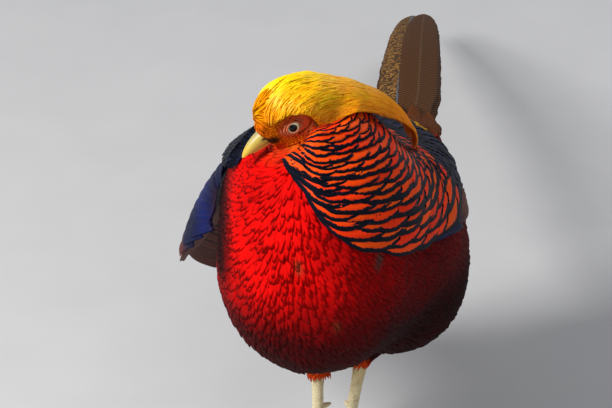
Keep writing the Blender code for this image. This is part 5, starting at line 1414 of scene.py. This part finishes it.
for name, leg in LEGS.items():
    ankle, hub = THIGHS[name][1], np.array([*leg["hub"], HUB_HEIGHT])
    down = unit(hub - ankle)
    marks = np.linspace(0, 1, 90)
    path = run(ankle - down * 0.004, hub - ankle + down * 0.005, marks)
    path[:, 2] = np.maximum(path[:, 2], HUB_HEIGHT - 0.003)
    size = SHANK_RADIUS * np.interp(marks, (0, 0.14, 0.35, 0.7, 0.92, 1), (1.25, 1.20, 0.95, 0.92, 1.08, 1.10))
    inward = np.array([-leg["spread"] * 0.75, 0.66, 0.0])
    share = np.linspace(0, 1, 14)
    spur = run(ankle + (hub - ankle) * 0.62, inward, 0.001 + 0.009 * share, share ** 2 * 0.0012)
    parts = [tube(path, size, 24, 1.0, 0.07), tube(spur, 0.0022 * np.sqrt(1 - (0.985 * share) ** 2), 16)]
    shank = put_mesh("shank_" + name + "_scaled", *joined(parts))
    add_colour(shank, painted((226, 214, 176), (214, 190, 128, fade(points_of(shank)[:, 2], 0.040, 0.085))))
    finish_piece(shank, leg_material, "leg", "shank_" + name)

    ground = hub * (1, 1, 0)
    size = np.interp(np.linspace(0, 1, 30), (0, 0.3, 0.7, 1), (0.0052, 0.0062, 0.0052, 0.0046))
    parts = [tube(run(ground, SKYWARD, np.linspace(0.0006, HUB_HEIGHT, 30)), size, 24, 1.0, 0.05)]
    for title, degrees, length, scale in TOES:
        angle = math.radians(leg["toe_out"] + leg["spread"] * degrees)
        ahead = np.array([math.sin(angle), -math.cos(angle), 0.0])
        marks = np.linspace(0, 0.97, 60)
        radius = TOE_RADIUS * scale * np.interp(marks, TOE_MARKS, TOE_WIDTHS)
        parts.append(tube(run(ground, ahead, length * marks, radius), radius, 20, 0.94, 0.08, 0.0019))
        share = np.linspace(0, 1, 24)
        drop = radius[-1] * (0.96 - 0.55 * share ** 2.2) - 0.0004 * share
        root = ground + ahead * length * 0.96
        path = run(root, ahead, CLAW_LENGTH * scale * share, np.maximum(drop, 0.0006))
        size = radius[-1] * np.interp(share, (0, 0.3, 0.7, 1), (0.80, 0.68, 0.42, 0.13))
        claw = put_mesh("toenail_" + name + "_" + title, *tube(path, size, 16, 0.9))
        finish_piece(claw, claw_material, "claw", "claw_" + name + "_" + title)
    foot = put_mesh("foot_" + name + "_scaled", *joined(parts))
    add_colour(foot, painted((206, 186, 134), (222, 206, 160, fade(points_of(foot)[:, 2], 0.002, 0.012))))
    finish_piece(foot, leg_material, "leg", "foot_" + name)

# The stand-in for a studio: a pale floor, a large soft light from the upper left, a weak one from the right
# and one from behind, and a long lens that looks down on the bird from its left front.
AZIMUTH, ELEVATION = math.radians(20), math.radians(28)
FOCAL_PIXELS, CAMERA_DISTANCE, SENSOR_WIDTH, PICTURE_WIDTH = 3450.0, 2.3, 36.0, 612.0
BACKWARD = np.array([math.sin(AZIMUTH) * math.cos(ELEVATION), -math.cos(AZIMUTH) * math.cos(ELEVATION),
                     math.sin(ELEVATION)])
RIGHTWARD = np.array([math.cos(AZIMUTH), math.sin(AZIMUTH), 0.0])
UPWARD = np.cross(BACKWARD, RIGHTWARD)
# Each lamp's name, place, size, power and tint.
LAMPS = (("key", (-1.1, -1.5, 1.6), 0.8, 62.0, (1.0, 0.97, 0.93)),
         ("fill", (1.6, -1.2, 0.9), 1.4, 5.0, (1.0, 0.97, 0.95)),
         ("back", (0.6, 1.6, 1.6), 1.2, 16.0, (1.0, 1.0, 1.0)))

floor_finish = Finish("pale_floor", Roughness=0.85, Specular_IOR_Level=0.15)
floor_noise = floor_finish.noise(floor_finish.place(), 14.0, 2.0)
floor_mesh = bpy.data.meshes.new("floor")
floor_mesh.from_pydata([(-5, -5, 0), (5, -5, 0), (5, 5, 0), (-5, 5, 0)], [], [(0, 1, 2, 3)])
floor = bpy.data.objects.new("floor", floor_mesh)
bpy.context.scene.collection.objects.link(floor)
floor_paint = floor_finish.mix(floor_noise, (0.52, 0.53, 0.55), (0.58, 0.59, 0.61))
floor_mesh.materials.append(floor_finish.paint(floor_paint))


def aim(thing, place, back, right):
    """Put a camera or lamp at a place, looking against its back direction."""
    up = np.cross(back, right)
    rows = [[right[k], up[k], back[k], place[k]] for k in range(3)]
    thing.matrix_world = Matrix(rows + [[0, 0, 0, 1]])
    bpy.context.scene.collection.objects.link(thing)


camera_data = bpy.data.cameras.new("camera")
camera_data.sensor_width = SENSOR_WIDTH
camera_data.lens = SENSOR_WIDTH * FOCAL_PIXELS / PICTURE_WIDTH
camera_data.clip_end = 50.0
camera = bpy.data.objects.new("camera", camera_data)
steps = RIGHTWARD * (338 - 306) / FOCAL_PIXELS + UPWARD * (204 - 232) / FOCAL_PIXELS
camera_place = np.array([0.0, 0.0, 0.178]) + (BACKWARD - steps) * CAMERA_DISTANCE - BIRD_SHIFT
aim(camera, camera_place, BACKWARD, RIGHTWARD)
bpy.context.scene.camera = camera

for name, place, size, power, tint in LAMPS:
    lamp = bpy.data.lights.new(name, "AREA")
    lamp.size = size
    lamp.energy = power
    lamp.color = tint
    back = unit(np.array(place) - np.array([0.0, 0.0, 0.17]))
    aim(bpy.data.objects.new(name, lamp), np.array(place), back, unit(np.cross(SKYWARD, back)))

world = bpy.data.worlds.new("studio")
world.use_nodes = True
world.node_tree.nodes["Background"].inputs["Color"].default_value = (0.86, 0.87, 0.90, 1.0)
world.node_tree.nodes["Background"].inputs["Strength"].default_value = 0.24
bpy.context.scene.world = world
bpy.context.scene.view_settings.view_transform = "Standard"
